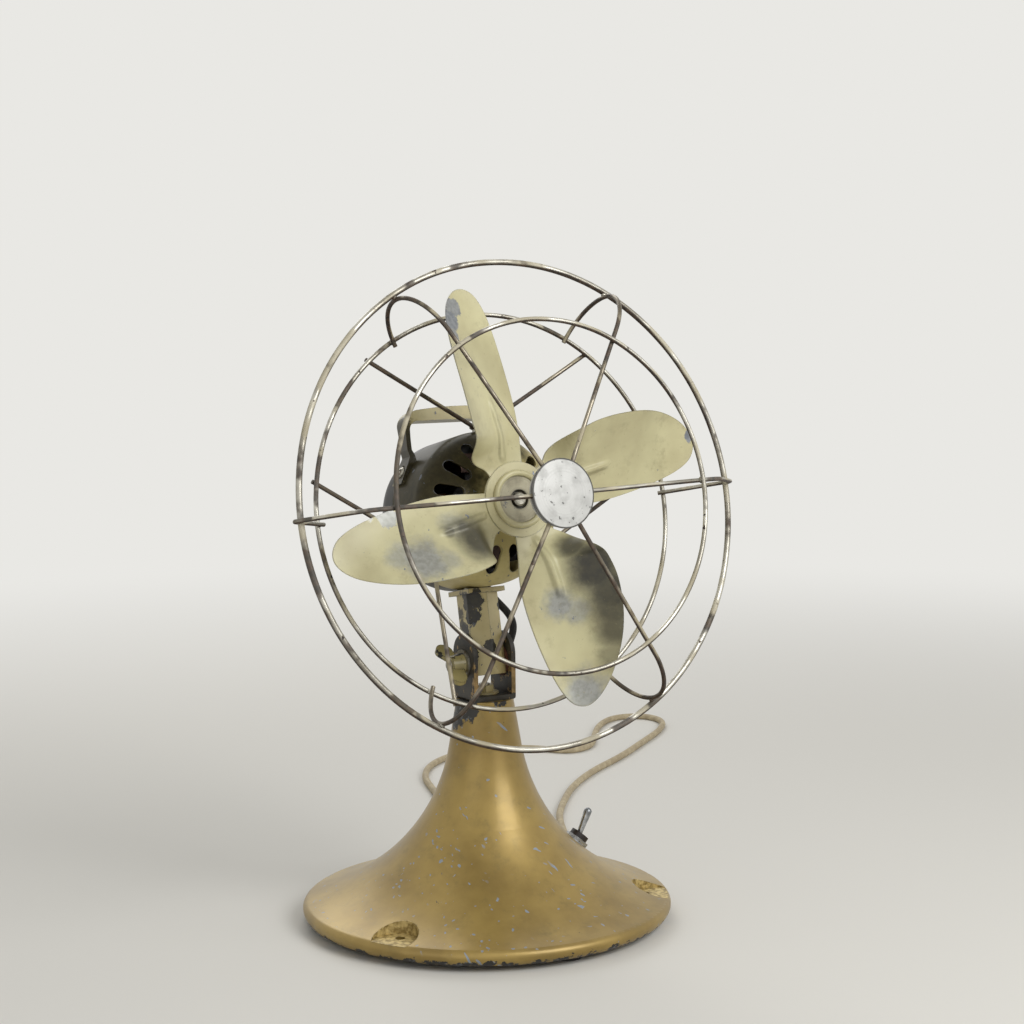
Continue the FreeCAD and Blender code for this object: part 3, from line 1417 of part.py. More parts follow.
def make_guard():
    torus("guard_outer_ring", d.outer_ring_radius, d.outer_ring_wire, d.outer_ring_place)
    torus("guard_front_ring", d.front_ring_radius, d.ring_wire, d.front_ring_place)
    torus("guard_back_ring", d.back_ring_radius, d.ring_wire, d.back_ring_place)
    whole = int(round(d.spoke_count.value))
    inside = spoke_shape()
    outside = side_spoke_shape()
    for index in range(whole):
        angle = 360.0 * index / whole
        sideways = abs(math.sin(math.radians(angle))) < 1e-6
        extra = d.right_turn if angle < 90 else d.left_turn
        # The medallion's plate sits behind the spokes, so all start at the same radius.
        shape = outside if sideways else inside
        way = extra + angle if sideways else angle
        feature(f"guard_spoke_{int(round(angle))}", shape.copy(), guard_place() * turn("z", way))
    screws = []
    for name, angle in zip(("top", "left", "right"), strut_angles()):
        feature(f"guard_strut_{name}", strut_shape(angle), SHAFT * turn("z", angle))
        place = SHAFT * turn("z", angle) * move(0, 0, strut_screw_place()) * turn("y", 90)
        radius, lift = strut_vertex()
        place = place * move(0, 0, radius + lift + d.spoke_wire + 0.15)
        screws.append(screw(f"strut_screw_{name}", 3.6, 2.0, d.strut_screw_radius, 6.0, place))
    node("strut_screws", group("strut_screw_set", screws))

    face = spoke_line(d.spoke_start) + d.spoke_wire + 0.05
    edge = d.medal_radius
    dome = (edge * edge + d.medal_dome * d.medal_dome) / (2 * d.medal_dome)
    medal = turned_body(
        "medal_body",
        [
            (0, face),
            (edge - 1.0, face),
            (edge, face + 0.6),
            (edge, face + d.medal_thickness, dome),
            (0, face + d.medal_thickness + d.medal_dome),
        ],
    )
    node("medallion", medal, guard_place())
    back = spoke_line(d.medal_back_radius) - d.spoke_wire - 0.05 - d.medal_back_thickness
    plate_place = guard_place() * move(0, 0, back)
    plate = washer("medal_back", d.medal_back_radius, 2.2, d.medal_back_thickness, plate_place)
    node("medallion_back_plate", plate)


# ---------------------------------------------------------------------------------- carry handle

HEAD_IN_SHAFT = turn("x", -90) * move(0, 0, -d.shaft_height)


def handle_screw_place(side, out):
    """A handle screw's place in the shaft frame, +Z pointing away from the shaft."""
    angle = d.handle_foot_angle if side > 0 else 180 - d.handle_foot_angle
    return turn("z", angle) * move(0, 0, d.handle_place) * turn("y", 90) * move(0, 0, out)


def make_handle():
    """A stamped bail: two flat legs, a thick crowned grip and feet that follow the casing."""
    half = d.handle_half_width
    leg = d.handle_leg
    top = d.handle_top - d.handle_crown
    corner = d.handle_corner
    grip_under = top - d.handle_bar
    inner_corner = 5.0
    seat = d.motor_radius + 0.15
    foot_x = seat * cosine(d.handle_foot_angle)
    foot_low = seat * sine(d.handle_foot_angle) - d.handle_foot_height / 2 + 2
    foot_high = foot_low + d.handle_foot_height
    crown = (half - corner) * (half - corner) + d.handle_crown * d.handle_crown
    crown = crown / (2 * d.handle_crown)
    owner = body("handle_body")
    pad(
        owner,
        "XY_Plane",
        d.handle_width,
        [
            (foot_x + 5.5, foot_low),
            (half - 1.0, foot_high),
            (half, foot_high + 4),
            (half, top - corner, corner),
            (half - corner, top, crown),
            (0, d.handle_top, crown),
            (-half + corner, top, corner),
            (-half, top - corner),
            (-half, foot_high + 4),
            (-half + 1.0, foot_high),
            (-foot_x - 5.5, foot_low),
            (-foot_x + 8.0, foot_low),
            (-half + leg + 1.5, foot_high + 1),
            (-half + leg, foot_high + 4),
            (-half + leg, grip_under - inner_corner, -inner_corner),
            (-half + leg + inner_corner, grip_under),
            (half - leg - inner_corner, grip_under, -inner_corner),
            (half - leg, grip_under - inner_corner),
            (half - leg, foot_high + 4),
            (half - leg - 1.5, foot_high + 1),
            (foot_x - 8.0, foot_low),
        ],
        lift=d.handle_place,
        both=True,
    )
    pocket_through(owner, "XY_Plane", lambda sketch: ring(sketch, 0, 0, seat))
    waist = d.handle_width / 2
    side_cuts = []
    for sign in (1, -1):
        low = d.handle_foot_height + 16
        tool = body("handle_waist" + ("_front" if sign > 0 else "_back"))
        place = d.handle_place
        pad(
            tool,
            "YZ_Plane",
            120.0,
            [
                (low, place + sign * (waist + 4)),
                (low, place + sign * waist, sign * 60.0),
                (top - corner + 2, place + sign * waist),
                (top - corner + 2, place + sign * (waist + 4)),
            ]
            if sign > 0
            else [
                (low, place - waist),
                (low, place - waist - 4),
                (top - corner + 2, place - waist - 4),
                (top - corner + 2, place - waist, 60.0),
            ],
            both=True,
        )
        side_cuts.append(tool)
    holes = [
        cylinder(f"handle_hole_{side}", d.handle_screw_radius + 0.15, 80, handle_screw_place(side, 30))
        for side in (1, -1)
    ]
    spots = [
        cylinder(f"handle_spot_{side}", 4.6, 80, handle_screw_place(side, seat + d.handle_pad_height)) for side in (1, -1)
    ]
    shaped = cut("handle_shaped", owner, side_cuts + holes + spots)
    node("carry_handle", shaped, SHAFT)
    screws = []
    for side in (1, -1):
        place = SHAFT * handle_screw_place(side, seat + d.handle_pad_height)
        screws.append(screw(f"handle_screw_{side}", 3.8, 2.0, d.handle_screw_radius, 4.1, place))
    node("handle_screws", group("handle_screw_pair", screws))


# ---------------------------------------------------------------------------------------- switch

def make_switch():
    depth = d.base_wall + 1.2
    bushing_bottom = -depth
    bore = d.lever_root + 1.6
    bushing = washer("bushing", d.bushing_radius, bore, d.bushing_reach + depth, move(0, 0, bushing_bottom))
    block = centred_box(
        "switch_block",
        d.switch_body_width,
        d.switch_body_length,
        d.switch_body_depth,
        move(0, 0, bushing_bottom - d.switch_body_depth),
    )
    well = cylinder("lever_well", bore, 4.0, move(0, 0, bushing_bottom - 3.9))
    node("switch_body", cut("switch_cut", fuse("switch_whole", [bushing, block]), [well]), SWITCH)
    hole = d.bushing_radius + 0.05
    node("switch_washer", washer("switch_disc", d.switch_washer_radius, hole, d.switch_washer_thickness, SWITCH))
    nut_place = SWITCH * move(0, 0, d.switch_washer_thickness)
    node("switch_nut", hex_nut("switch_hex", d.switch_nut_flats, hole, d.switch_nut_height, nut_place, 12.0))
    pivot = d.bushing_reach - d.lever_sink
    lever = turned_body(
        "lever_body",
        [
            (0, -4.0),
            (1.4, -4.0),
            (1.7, -1.0),
            (d.lever_root, d.lever_sink),
            (d.lever_tip, d.lever_sink + d.lever_length - d.lever_tip, d.lever_tip),
            (0, d.lever_sink + d.lever_length),
        ],
    )
    node("switch_lever", lever, SWITCH * move(0, 0, pivot) * turn("y", -d.lever_throw))


# ----------------------------------------------------------------------------------------- leads

# Where the lead leaves the motor, in the head frame: across, back and up from the pivot.
LEAD_OUTLET = (15.0, 15.0, 46.0)
LEAD_OUTLET_IN_SHAFT = HEAD_IN_SHAFT * move(LEAD_OUTLET[0], LEAD_OUTLET[1], 20)

# The slack loop of the lead between the motor and the neck, from the top down.
LEAD_ROUTE = [
    (19.5, 24.5, 190.0),
    (25.6, 13.5, 181.5),
    (26.5, 8.8, 173.0),
    (22.6, 9.4, 163.5),
    (20.6, 11.6, 152.0),
    (20.9, 15.6, 141.0),
    (19.6, 23.4, 129.0),
]

# The cord's route over the table from the rim, as it lies behind the fan.
CORD_AZIMUTH = 68.0
CORD_ROUTE = [
    (62.0, 161.0),
    (79.0, 201.0),
    (101.0, 244.0),
    (115.0, 290.0),
    (128.0, 331.0),
    (152.0, 366.0),
    (186.0, 388.0),
    (224.0, 391.0),
    (254.0, 373.0),
    (271.0, 346.0),
    (298.0, 354.0),
    (321.0, 388.0),
    (349.0, 424.0),
    (378.0, 443.0),
    (403.0, 432.0),
    (404.0, 404.0),
    (379.0, 374.0),
    (340.0, 343.0),
    (297.0, 308.0),
    (252.0, 279.0),
    (211.0, 244.0),
    (178.0, 204.0),
    (152.0, 168.0),
]
COIL_CENTRE = (97.0, 124.0)
PLUG_HEIGHT = 6.5
PLUG_TAIL = 20.0


def make_lead():
    outlet = (HEAD.value * Placement(Vector(*LEAD_OUTLET), Rotation())).Base
    top = (HEAD.value * Placement(Vector(LEAD_OUTLET[0], LEAD_OUTLET[1], LEAD_OUTLET[2] + 5), Rotation())).Base
    angle = math.radians(d.lead_azimuth.value)
    outward = Vector(math.cos(angle), math.sin(angle), 0)
    height = d.lead_hole_height.value
    inside = outward * 8.0 + Vector(0, 0, height)
    outside = outward * (neck_side(height) + 9.5) + Vector(0, 0, height)
    points = [top, outlet] + [Vector(*spot) for spot in LEAD_ROUTE] + [outside, inside]
    bends = free_bends(points)
    print("motor lead bends", [round(bend, 1) for bend in bends])
    shape = wire_shape(points, bends, d.lead_radius.value)
    feature("motor_lead", shape, TABLE)
    outer = d.lead_bush_radius
    start = Size(neck_side(height - outer.value) + 0.05) - d.base_wall - 2.0
    bush = turned_body(
        "lead_bush_body",
        [
            (d.lead_radius + 0.2, 0),
            (outer - 1.3, 0),
            (outer - 1.3, d.base_wall + 2.0),
            (outer, d.base_wall + 2.0),
            (outer - 0.8, d.base_wall + 4.0),
            (d.lead_radius + 0.2, d.base_wall + 4.0),
        ],
    )
    node("lead_bush", bush, lead_hole_place() * move(0, 0, start))


def neck_side(height):
    """Radius of the neck at a height above its flare."""
    slope = math.tan(math.radians(d.neck_taper.value))
    return d.neck_radius.value + (d.neck_top.value - height) * slope


def make_cord():
    height = d.cord_height.value
    angle = math.radians(CORD_AZIMUTH)
    outward = Vector(math.cos(angle), math.sin(angle), 0)
    start = outward * 107.0 + Vector(0, 0, d.cord_exit_height.value)
    drop = outward * 121.0 + Vector(0, 0, d.cord_exit_height.value)
    land = outward * 139.0 + Vector(0, 0, height + 0.4)
    points = [start, drop, land]
    points += [Vector(x, y, height) for x, y in CORD_ROUTE]
    middle = Vector(*COIL_CENTRE, height)
    towards = (points[-1] - middle).normalize()
    points.append(middle + towards * (d.coil_radius.value + d.coil_half_width.value - 1.5))
    bends = free_bends(points)
    shape = wire_shape(points, bends, d.cord_radius.value)
    section = math.pi * d.cord_radius.value**2
    print("cord bends", [round(bend, 1) for bend in bends])
    print("cord length", round(shape.Volume / section, 1), "by its path", round(path_length(points, bends), 1))
    feature("cord", shape, TABLE)
    grommet = turned_body(
        "grommet_body",
        [
            (d.cord_radius + 0.1, 0),
            (d.cord_radius + 0.7, 0),
            (d.cord_radius + 0.7, 8.0),
            (d.cord_radius + 1.7, 8.0),
            (d.cord_radius + 1.2, 10.5),
            (d.cord_radius + 0.1, 10.5),
        ],
    )
    place = turn("z", CORD_AZIMUTH) * move(103.4, 0, d.cord_exit_height) * turn("y", 90)
    node("cord_grommet", grommet, place)
    outer = d.coil_radius + d.coil_half_width
    place = move(COIL_CENTRE[0], COIL_CENTRE[1], 0)
    node("cord_coil", washer("coil_body", outer, d.coil_radius - d.coil_half_width, d.coil_height, place))
    make_plug(place * turn("z", -45) * move(-(d.coil_radius + 3.5), outer, 0))


def make_plug(place):
    """A flat two-pin plug that lies beside the coil, its neck towards it."""
    owner = body("plug")
    half = d.plug_width / 2
    neck = 7.0
    end = neck + d.plug_length
    pad(
        owner,
        "XY_Plane",
        d.plug_depth,
        [(-6.0, neck, 20.0), (6.0, neck), (half, neck + 9.0), (half, end), (-half, end), (-half, neck + 9.0)],
    )
    disc_sketch = new_sketch(owner, "XZ_Plane", -neck - 0.5)
    ring(disc_sketch, 0, PLUG_HEIGHT, 3.0)
    add(owner, "Pad", disc_sketch, Length=Size(neck + PLUG_TAIL), SideType="One side")
    node("plug_body", owner, place)
    pins = []
    for side in (1, -1):
        pin_place = place * move(side * d.pin_spacing / 2, end, d.plug_depth / 2 - d.pin_width / 2)
        pins.append(box(f"pin_{side}", d.pin_thickness, d.pin_length, d.pin_width, pin_place * move(-d.pin_thickness / 2)))
    node("plug_pins", group("pins", pins))


BUILDERS = [
    make_base,
    make_yoke,
    make_tilt_clamp,
    make_stem,
    make_casing,
    make_stator,
    make_rotor,
    make_fan,
    make_guard,
    make_handle,
    make_switch,
    make_lead,
    make_cord,
]

for build in BUILDERS:
    build()
doc.recompute()

for item in doc.Objects:
    if "Invalid" in item.State or "Error" in item.State:
        raise RuntimeError(f"{item.Name} ({item.Label}) is {item.State}")
for name, item in nodes.items():
    if item.Shape.isNull() or not item.Shape.isValid() or not item.Shape.Solids:
        raise RuntimeError(f"{name} has no valid shape")
for name, item in nodes.items():
    item.Shape.exportStep(f"parts/{name}.step")
print(len(nodes), "parts written")
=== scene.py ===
"""Looks of the ten-inch desk fan: enamel, wire, spun aluminium, cord, floor, light and camera.

Lengths are millimetres until a mesh is finished, then metres. Three frames place the pieces, as
in the part: the table, the head (origin at the tilt pivot) and the shaft (origin on the motor
shaft above the pivot, +Z forward along the air, +Y up).
"""

import math

import bpy
from mathutils import Matrix, Vector


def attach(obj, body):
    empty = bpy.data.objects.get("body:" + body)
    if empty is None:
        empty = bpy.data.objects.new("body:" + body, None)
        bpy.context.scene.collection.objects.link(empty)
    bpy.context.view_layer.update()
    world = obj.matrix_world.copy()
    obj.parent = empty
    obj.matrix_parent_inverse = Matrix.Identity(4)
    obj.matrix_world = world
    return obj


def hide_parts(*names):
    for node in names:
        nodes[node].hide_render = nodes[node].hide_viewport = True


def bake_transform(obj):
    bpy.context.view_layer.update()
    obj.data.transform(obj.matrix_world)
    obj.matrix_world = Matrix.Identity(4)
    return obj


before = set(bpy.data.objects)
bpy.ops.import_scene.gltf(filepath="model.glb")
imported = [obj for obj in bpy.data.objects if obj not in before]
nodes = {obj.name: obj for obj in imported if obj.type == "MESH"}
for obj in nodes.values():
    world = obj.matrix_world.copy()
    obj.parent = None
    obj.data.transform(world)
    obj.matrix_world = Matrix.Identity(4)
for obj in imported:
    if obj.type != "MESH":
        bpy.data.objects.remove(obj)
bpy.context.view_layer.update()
scene = bpy.context.scene

MM = 0.001
REST_TILT = 12.0
PIVOT_HEIGHT = 156.0
SHAFT_HEIGHT = 90.0
GUARD_DROP = 3.1


def turned(axis, degrees):
    return Matrix.Rotation(math.radians(degrees), 4, axis)


def moved(x, y, z):
    return Matrix.Translation(Vector((x, y, z)) * MM)


HEAD = moved(0, 0, PIVOT_HEIGHT) @ turned("X", -REST_TILT)
SHAFT = HEAD @ moved(0, 0, SHAFT_HEIGHT) @ turned("X", 90)


# ---- camera ----

CAMERA_AZIMUTH = math.radians(-29.84)
CAMERA_ELEVATION = math.radians(5.949)
CAMERA_ROLL = math.radians(-0.589)
CAMERA_DISTANCE = 1219.8
CAMERA_TARGET = Vector((20.19, 0, 244.9)) * MM
CAMERA_LENS = 71.39
CAMERA_SENSOR = 36.0


def make_camera():
    data = bpy.data.cameras.new("camera")
    data.sensor_width = CAMERA_SENSOR
    data.lens = CAMERA_LENS
    data.clip_start, data.clip_end = 0.05, 20.0
    level = math.cos(CAMERA_ELEVATION)
    east, north = math.sin(CAMERA_AZIMUTH) * level, -math.cos(CAMERA_AZIMUTH) * level
    back = Vector((east, north, math.sin(CAMERA_ELEVATION)))
    right = (-back).cross(Vector((0, 0, 1))).normalized()
    up = right.cross(-back)
    cosine, sine = math.cos(CAMERA_ROLL), math.sin(CAMERA_ROLL)
    right, up = right * cosine + up * sine, up * cosine - right * sine
    camera = bpy.data.objects.new("camera", data)
    stand = Matrix.Translation(CAMERA_TARGET + back * CAMERA_DISTANCE * MM)
    camera.matrix_world = stand @ Matrix((right, up, back)).transposed().to_4x4()
    scene.collection.objects.link(camera)
    scene.camera = camera


make_camera()


# ---- nodes and colours ----


def linear(code):
    """A colour written as sRGB hex, as the linear RGBA that shaders take."""
    values = [int(code[i : i + 2], 16) / 255 for i in (1, 3, 5)]
    return (*[v / 12.92 if v <= 0.04045 else ((v + 0.055) / 1.055) ** 2.4 for v in values], 1.0)


def add_node(tree, kind, inputs=None, **settings):
    """Adds a node, sets its properties, and gives each input a value, a hex colour or a link."""
    made = tree.nodes.new(kind)
    for name, value in settings.items():
        setattr(made, name, value)
    for socket, value in (inputs or {}).items():
        if isinstance(value, bpy.types.NodeSocket):
            tree.links.new(value, made.inputs[socket])
        elif isinstance(value, str) and value.startswith("#"):
            made.inputs[socket].default_value = linear(value)
        else:
            made.inputs[socket].default_value = value
    return made


def scale_of(size):
    """Noise scale whose patches are about this many millimetres across."""
    return 1.0 / (size * MM)


def new_material(name):
    made = bpy.data.materials.new(name)
    made.use_nodes = True
    made.node_tree.nodes.clear()
    return made, made.node_tree


def object_place(tree):
    return add_node(tree, "ShaderNodeTexCoord").outputs["Object"]


def tree_of(*values):
    """The tree of the first socket among these values."""
    return next(value.id_data for value in values if isinstance(value, bpy.types.NodeSocket))


def sums(operation, *values):
    """Takes two or more values together by one operation, from left to right."""
    tree, whole = tree_of(*values), values[0]
    for value in values[1:]:
        whole = add_node(tree, "ShaderNodeMath", {0: whole, 1: value}, operation=operation).outputs[0]
    return whole


def between(value, low, high):
    """Rises smoothly from 0 at the low level to 1 at the high one, or falls where low is higher."""
    levels = {"Value": value, "From Min": low, "From Max": high}
    made = add_node(tree_of(value), "ShaderNodeMapRange", levels, interpolation_type="SMOOTHSTEP")
    return made.outputs["Result"]


def mixed(share, first, second):
    """Mixes two colours or, where both are plain numbers, two values."""
    tree = tree_of(share)
    if isinstance(first, (float, int)) and isinstance(second, (float, int)):
        ends = {"Value": share, "To Min": first, "To Max": second}
        return add_node(tree, "ShaderNodeMapRange", ends).outputs["Result"]
    return add_node(tree, "ShaderNodeMix", {0: share, 6: first, 7: second}, data_type="RGBA").outputs[2]


def noise_value(place, size, seed, detail=6.0, roughness=0.6):
    """Noise from 0 to 1 whose patches are about this many millimetres across."""
    inputs = {"Vector": place, "W": seed, "Scale": scale_of(size), "Detail": detail, "Roughness": roughness}
    return add_node(tree_of(place), "ShaderNodeTexNoise", inputs, noise_dimensions="4D").outputs[0]


def patches(place, size, low, high, detail=4.0, roughness=0.55, seed=0.0):
    """A mask from noise: 0 under the low level, 1 over the high one."""
    return between(noise_value(place, size, seed, detail, roughness), low, high)


# The middle of a worn patch's edge, as a share of its radius.
PATCH_EDGE = 0.85


def near(place, spots, ragged, size, seed, blur):
    """A mask of ragged patches: (x, y, z, radius, strength) in millimetres for each."""
    noise = sums("SUBTRACT", noise_value(place, size, seed, 8.0, 0.68), 0.5)
    noise = sums("MULTIPLY", noise, 4.0 * ragged)
    tree, masks = tree_of(place), []
    for x, y, z, radius, strength in spots:
        middle = (x * MM, y * MM, z * MM)
        apart = add_node(tree, "ShaderNodeVectorMath", {0: place, 1: middle}, operation="DISTANCE")
        share = sums("ADD", sums("DIVIDE", apart.outputs["Value"], radius * MM), noise)
        mask = between(share, PATCH_EDGE + blur / 2, PATCH_EDGE - blur / 2)
        masks.append(sums("MULTIPLY", mask, strength))
    return sums("MAXIMUM", *masks)


def edges(tree, radius):
    """A mask of the outer and inner edges: how far a rounded normal leaves the true one."""
    rounded = add_node(tree, "ShaderNodeBevel", {"Radius": radius * MM}, samples=3).outputs["Normal"]
    true = add_node(tree, "ShaderNodeNewGeometry").outputs["Normal"]
    dot = add_node(tree, "ShaderNodeVectorMath", {0: rounded, 1: true}, operation="DOT_PRODUCT")
    return between(sums("SUBTRACT", 1.0, dot.outputs["Value"]), 0.02, 0.25)


def finish_surface(
    tree, colour, roughness, metallic=0.0, height=None, depth=0.1, coat=0.0, ior=None, sheen=0.0
):
    """The surface shader and the material's output. Depth is the bump's in millimetres."""
    inputs = {"Base Color": colour, "Roughness": roughness, "Metallic": metallic}
    inputs.update({"Coat Weight": coat, "Coat Roughness": 0.25, "Sheen Weight": sheen})
    if ior is not None:
        inputs["IOR"] = ior
    if height is not None:
        bump = add_node(tree, "ShaderNodeBump", {"Height": height, "Distance": depth * MM, "Strength": 1.0})
        inputs["Normal"] = bump.outputs["Normal"]
    surface = add_node(tree, "ShaderNodeBsdfPrincipled", inputs)
    add_node(tree, "ShaderNodeOutputMaterial", {"Surface": surface.outputs["BSDF"]})


# ---- materials ----


def cream_enamel(
    name, light, dark, grime, chip, wear, edge_wear, soot_and_shade=None, bare=None, ridge=None, coat=0.1, ior=1.5
):
    """Brushed and stoved cream enamel on steel: soft gloss with slow tone changes, grimy streaks,
    and chips down to blue-grey metal that gather at the edges. Soot_and_shade, bare and ridge give
    masks of darkened places (sooty grime, chipped paint and painted shade), rubbed-through places
    and a pressed rib."""
    made, tree = new_material(name)
    place = object_place(tree)
    tone = mixed(patches(place, 34, 0.32, 0.68, detail=3), light, dark)
    dirt = patches(place, 13, 0.5, 0.78, detail=7, roughness=0.7, seed=3.0)
    tone = mixed(sums("MULTIPLY", dirt, 0.55), tone, grime)
    rubbed = 0.0
    if bare is not None:
        rubbed = bare(tree)
        metal = mixed(patches(place, 3, 0.3, 0.7, seed=12.0), "#999ca1", "#7c8085")
        tone = mixed(rubbed, tone, metal)
    # Sooty grime and painted shade, in one dark tone, wherever the given mask says.
    if soot_and_shade is not None:
        soot_and_shade_tone = mixed(patches(place, 4, 0.3, 0.7, seed=13.0), "#2e2a1b", "#13120d")
        tone = mixed(soot_and_shade(tree), tone, soot_and_shade_tone)
    speckle = patches(place, 2.2, 0.62, 0.72, detail=5, seed=7.0)
    tone = mixed(sums("MULTIPLY", speckle, 0.35), tone, grime)
    edge = edges(tree, 1.0)
    # Partly painted shade: edges and creases darken to olive brown, for the shade there as well as for grime
    # and wear.
    tone = mixed(sums("MULTIPLY", edge, 0.55), tone, "#5c553d")
    chance = noise_value(place, 7.0, 11.0, 8.0, 0.62)
    chance = sums("ADD", chance, sums("MULTIPLY", edge, edge_wear))
    chipped = between(chance, 1.0 - wear, 1.012 - wear)
    colour = mixed(chipped, tone, chip)
    roughness = mixed(chipped, 0.38, 0.5)
    metallic = sums("MULTIPLY", sums("MAXIMUM", chipped, rubbed), 0.55)
    fine = add_node(tree, "ShaderNodeTexNoise", {"Vector": place, "Scale": scale_of(1.6), "Detail": 3.0})
    height = sums("SUBTRACT", sums("MULTIPLY", fine.outputs[0], 0.12), chipped)
    if ridge is not None:
        height = sums("ADD", height, sums("MULTIPLY", ridge(tree), 14.0))
    finish_surface(tree, colour, roughness, metallic, height, depth=0.09, coat=coat, ior=ior)
    return made


BLADE_PHASE = 9.4
# The rib's crest: how far it leans off the blade's middle, its offset at the axis, and the fades
# of its sides, its inner end and its outer end.
RIB_LEAN, RIB_OFFSET, RIB_SIDES = 0.078, 2.0 * MM, (3.1 * MM, 0.4 * MM)
RIB_INNER, RIB_OUTER = (22 * MM, 26 * MM), (63 * MM, 56 * MM)
# Worn places of the blades, in the shaft's frame: x, y, z, radius, strength. Chipped to bare metal
# with a sharp edge, rubbed thin with a soft one, and dark: partly with sooty oil, partly painted
# shade on the left blade and down the bottom blade's right side.
BLADE_CHIPPED = [
    (-38.7, 103, 76, 9, 1.0), (-34, 111, 72, 7, 0.9),
    (-38, 94, 78, 5, 0.9), (119.5, 31, 69, 5, 1.0),
    (-86.4, -5, 64, 8, 0.8), (-97, -7, 61, 5, 0.7),
]
BLADE_RUBBED = [
    (-73, -32, 79, 16, 0.75), (-84, -28, 75, 10, 0.6),
    (-60, -33, 83, 8, 0.5), (-48, -12, 71, 9, 0.5),
    (15.3, -63, 70, 10, 0.8), (23, -68, 74, 9, 0.6),
    (25, -115, 69, 15, 0.8),
]
BLADE_SOOT_AND_SHADE = [
    (-35, -23, 77, 17, 0.9), (-27, -17, 76, 12, 0.75),
    (-43, -15, 73, 5, 0.75), (-52, -17, 73, 4, 0.7),
    (33, -43, 85, 20, 0.97), (25.5, -30, 74, 11, 0.9),
    (39.5, -58, 89, 19, 0.92), (40, -69, 88, 16, 0.85),
    (42, -80, 86, 15, 0.8), (41, -95, 80, 10, 0.5),
]


def blade_bare(tree):
    place = shaft_place(tree)
    chipped = near(place, BLADE_CHIPPED, ragged=0.5, size=8.0, seed=21.0, blur=0.12)
    rubbed = near(place, BLADE_RUBBED, ragged=0.4, size=10.0, seed=23.0, blur=0.9)
    return sums("MAXIMUM", chipped, rubbed)


# Partly painted shade: darkens the left blade and the bottom blade's right side, along with sooty oil.
def blade_soot_and_shade(tree):
    return near(shaft_place(tree), BLADE_SOOT_AND_SHADE, ragged=0.2, size=16.0, seed=22.0, blur=1.0)


def blade_rib(tree):
    """The crisp crest of each blade's pressed rib, which runs out from the ring."""
    crests = []
    place = shaft_place(tree)
    for number in range(4):
        spin = {"Vector": place, "Angle": -math.radians(BLADE_PHASE + 90 * number)}
        spun = add_node(tree, "ShaderNodeVectorRotate", spin, rotation_type="Z_AXIS").outputs[0]
        part = add_node(tree, "ShaderNodeSeparateXYZ", {"Vector": spun}).outputs
        line = sums("ADD", sums("MULTIPLY", part["X"], RIB_LEAN), RIB_OFFSET)
        away = sums("ABSOLUTE", sums("SUBTRACT", part["Y"], line), 0.0)
        inner, outer = between(part["X"], *RIB_INNER), between(part["X"], *RIB_OUTER)
        crests.append(sums("MULTIPLY", between(away, *RIB_SIDES), inner, outer))
    return sums("MAXIMUM", *crests)


def shell_upper_left_darkening(tree):
    """The motor darker towards its upper left, thinning out towards its lower right."""
    part = add_node(tree, "ShaderNodeSeparateXYZ", {"Vector": shaft_place(tree)}).outputs
    rise = sums("SUBTRACT", sums("MULTIPLY", part["Y"], 0.75), sums("MULTIPLY", part["X"], 0.62))
    cloud = sums("SUBTRACT", noise_value(object_place(tree), 16.0, 31.0, 7.0), 0.5)
    cloud = sums("MULTIPLY", cloud, 0.075)
    return sums("MULTIPLY", between(sums("ADD", rise, cloud), -0.006, 0.022), 0.93)


def stem_chips_and_shade(tree):
    """Dark places of the stem, down its left side and above the clamp: partly chipped-off paint, partly painted
    shade on the left side and in the yoke's shadow.
    """
    spots = [
        (-9, 0, 193, 9, 1.0), (-9, -1, 185, 6, 1.0),
        (-13, 4, 172, 8, 1.0), (-14, -3, 162, 9, 1.0),
        (-1, -10, 167, 5, 1.0), (13, 4, 188, 6, 1.0),
        (0, 14, 180, 16, 0.9),
    ]
    return near(object_place(tree), spots, ragged=0.6, size=8.0, seed=33.0, blur=0.07)


def handle_soot_and_shade(tree):
    """Darkened feet and outer sides of the handle: sooty grime at the feet, painted shade up the left leg's
    outer side.
    """
    spots = [(-44, 30, 278, 24, 0.95), (-43, 32, 296, 14, 0.9), (42, 30, 275, 24, 0.8)]
    return near(object_place(tree), spots, ragged=0.5, size=10.0, seed=34.0, blur=0.3)


def strokes(place, lean, seed):
    """Short scratches about a millimetre wide that all lean one way."""
    tree, turn = tree_of(place), {"Vector": place, "Rotation": lean}
    leaning = add_node(tree, "ShaderNodeVectorRotate", turn, rotation_type="EULER_XYZ").outputs[0]
    drawn_out = add_node(tree, "ShaderNodeMapping", {"Vector": leaning, "Scale": (7.0, 7.0, 0.8)})
    return patches(drawn_out.outputs["Vector"], 22.0, 0.705, 0.715, detail=1, seed=seed)


# The three recesses in the base's rim: the circle they stand on and their turns round it, in
# millimetres and degrees, then where the enamel ends at their walls, and above what height.
RECESS_CIRCLE, RECESS_TURNS = 101.5, (90, 210, 330)
RECESS_WALL = (0.01375, 0.0136)
RECESS_HEIGHT = (0.0121, 0.01225)
# Heights between which wear sets in, at the rim's foot and the neck's top.
RIM_FOOT, NECK_TOP = (0.0105, 0.0045), (0.1265, 0.1335)
# Dark patches on the left of the neck's top, laid on in the chipped iron colour.
NECK_LEFT_DARK_PATCHES = [(-19, -4, 130, 12, 1.0), (-19, 3, 122, 7, 1.0)]


